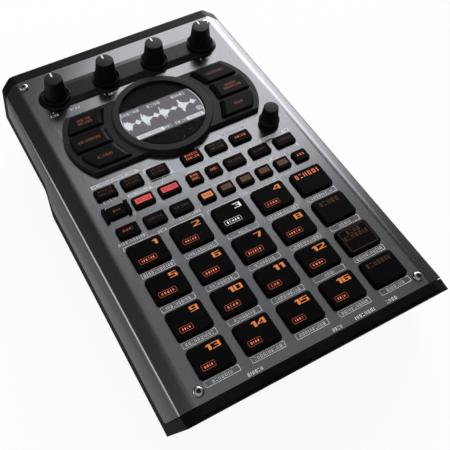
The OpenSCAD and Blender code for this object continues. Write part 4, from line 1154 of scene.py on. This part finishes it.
# Guard walls
# Two low fences of black ABS at either side of one key, so that it isn't pressed by chance.
# They are stuck to the cover, and each has a groove along its top.
guard_low, guard_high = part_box("key_guard")
guard_wall = 2.3 * mm
guard_lip = 0.75 * mm
guard_edge = 0.18 * mm
groove = 0.45 * mm


def long_bar(shape, profile, y0, y1):
    """Adds a bar along Y with this cross-section, given as (x, z) corners seen from the front."""
    front = [shape.verts.new((x, y0, z)) for x, z in profile]
    back = [shape.verts.new((x, y1, z)) for x, z in profile]
    shape.faces.new(front)
    shape.faces.new(back[::-1])
    for i in range(len(profile)):
        j = (i + 1) % len(profile)
        shape.faces.new((front[j], front[i], back[i], back[j]))


walls = bmesh.new()
top = guard_high.z
for left in (guard_low.x, guard_high.x - guard_wall):
    right = left + guard_wall
    inner_left = left + guard_lip
    inner_right = right - guard_lip
    long_bar(walls, [(left, panel_z), (right, panel_z), (right, top), (inner_right, top),
                     (inner_right, top - groove), (inner_left, top - groove), (inner_left, top),
                     (left, top)], guard_low.y, guard_high.y)
guard = new_piece("key_guard_walls", mesh_of("key_guard_walls", walls), shell_plastic)
bevelled(guard, guard_edge, 2, limit_method="ANGLE")
settle(guard)
even_normals(guard)
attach(guard, "case")
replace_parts(guard, "key_guard")

# Floor, light and camera
# A white studio table, a tall soft box behind on the right, a low strip on the left, and a dim room with soft
# patches overhead and low behind on the right. The camera stands in front on the left, high over the panel.
white_light = (1.0, 1.0, 1.0, 1.0)
floor_half = 6
floor_mesh = bpy.data.meshes.new("floor")
floor_mesh.from_pydata([(-floor_half, -floor_half, 0), (floor_half, -floor_half, 0),
                        (floor_half, floor_half, 0), (-floor_half, floor_half, 0)], [], [(0, 1, 2, 3)])
floor = linked("floor", floor_mesh)
floor_paint, tree, place = blank_finish("white_studio_floor")
rays = add_node(tree, "ShaderNodeLightPath")
seen = add_node(tree, "ShaderNodeMath",
                {0: rays.outputs["Is Camera Ray"], 1: rays.outputs["Is Glossy Ray"]}, operation="MAXIMUM")
seen = add_node(tree, "ShaderNodeMath", {0: seen.outputs[0], 1: rays.outputs["Is Transmission Ray"]},
                operation="MAXIMUM")
# What is left of the plain paint keeps the object's shadow on the white
share = add_node(tree, "ShaderNodeMath", {0: seen.outputs[0], 1: 0.93}, operation="MULTIPLY")
matt = add_node(tree, "ShaderNodeBsdfDiffuse", {"Color": (0.85, 0.85, 0.85, 1.0)})
white = add_node(tree, "ShaderNodeEmission", {"Color": white_light, "Strength": 1.0})
mixed = add_node(tree, "ShaderNodeMixShader",
                 {0: share.outputs[0], 1: matt.outputs[0], 2: white.outputs[0]})
add_node(tree, "ShaderNodeOutputMaterial", {"Surface": mixed.outputs[0]})
floor_mesh.materials.append(floor_paint)

world = bpy.data.worlds.new("studio")
bpy.context.scene.world = world
world.use_nodes = True
tree = world.node_tree
tree.nodes.clear()
way = add_node(tree, "ShaderNodeTexCoord").outputs["Generated"]
room_light = 0.12
# Each soft patch of the room: which way it lies, where its edge starts and ends as a cosine, its brightness
for toward, start, end, bright in [((0.232, 0.372, 0.899), 0.88, 0.985, 0.62),
                                   ((-0.3, -0.35, 0.88), 0.68, 0.88, 0.8),
                                   ((0.653, 0.738, 0.174), 0.868, 0.988, 10.5)]:
    facing = add_node(tree, "ShaderNodeVectorMath", {0: way, 1: Vector(toward).normalized()},
                      operation="DOT_PRODUCT")
    patch = add_node(tree, "ShaderNodeMapRange",
                     {0: facing.outputs["Value"], 1: start, 2: end, 3: 0.0, 4: bright},
                     interpolation_type="SMOOTHSTEP")
    added = add_node(tree, "ShaderNodeMath", {0: patch.outputs[0], 1: room_light}, operation="ADD")
    room_light = added.outputs[0]
sky = add_node(tree, "ShaderNodeBackground", {"Color": white_light, "Strength": room_light})
rays = add_node(tree, "ShaderNodeLightPath")
plain = add_node(tree, "ShaderNodeBackground", {"Color": white_light, "Strength": 1.0})
mixed = add_node(tree, "ShaderNodeMixShader",
                 {0: rays.outputs["Is Camera Ray"], 1: sky.outputs[0], 2: plain.outputs[0]})
add_node(tree, "ShaderNodeOutputWorld", {"Surface": mixed.outputs[0]})


def soft_box(name, azimuth, distance, height, wide, tall, radiance):
    """An upright soft box that faces the object, with the brightness that its face shows."""
    lamp = bpy.data.lights.new(name, "AREA")
    lamp.shape = "RECTANGLE"
    lamp.size = wide
    lamp.size_y = tall
    lamp.energy = math.pi * radiance * wide * tall
    holder = linked(name, lamp)
    angle = math.radians(azimuth)
    inward = Vector((-math.cos(angle), -math.sin(angle), 0))
    holder.location = Vector((0, 0, height)) - distance * inward
    holder.rotation_euler = inward.to_track_quat("-Z", "Y").to_euler()
    holder.visible_camera = False


soft_box("rear_right_box", azimuth=57.5, distance=1.5, height=1.05, wide=0.87, tall=2.1, radiance=3.75)
soft_box("left_strip", azimuth=156, distance=1.2, height=0.26, wide=0.7, tall=0.52, radiance=4.5)

camera_right = Vector((0.87922, -0.47631, 0.00996))
camera_up = Vector((0.39137, 0.73404, 0.55499))
camera_back = Vector((-0.27165, -0.48406, 0.8318))
camera_place = Vector((-142.16, -225.86, 391.99)) * mm
camera_data = bpy.data.cameras.new("camera")
camera_data.sensor_width = 36
camera_data.lens = 54.653
camera_data.shift_x = 0.1
camera_data.clip_start = 0.01
camera = linked("camera", camera_data)
turn = Matrix((camera_right, camera_up, camera_back)).transposed().to_4x4()
camera.matrix_world = Matrix.Translation(camera_place) @ turn
bpy.context.scene.camera = camera
bpy.context.scene.view_settings.view_transform = "Standard"
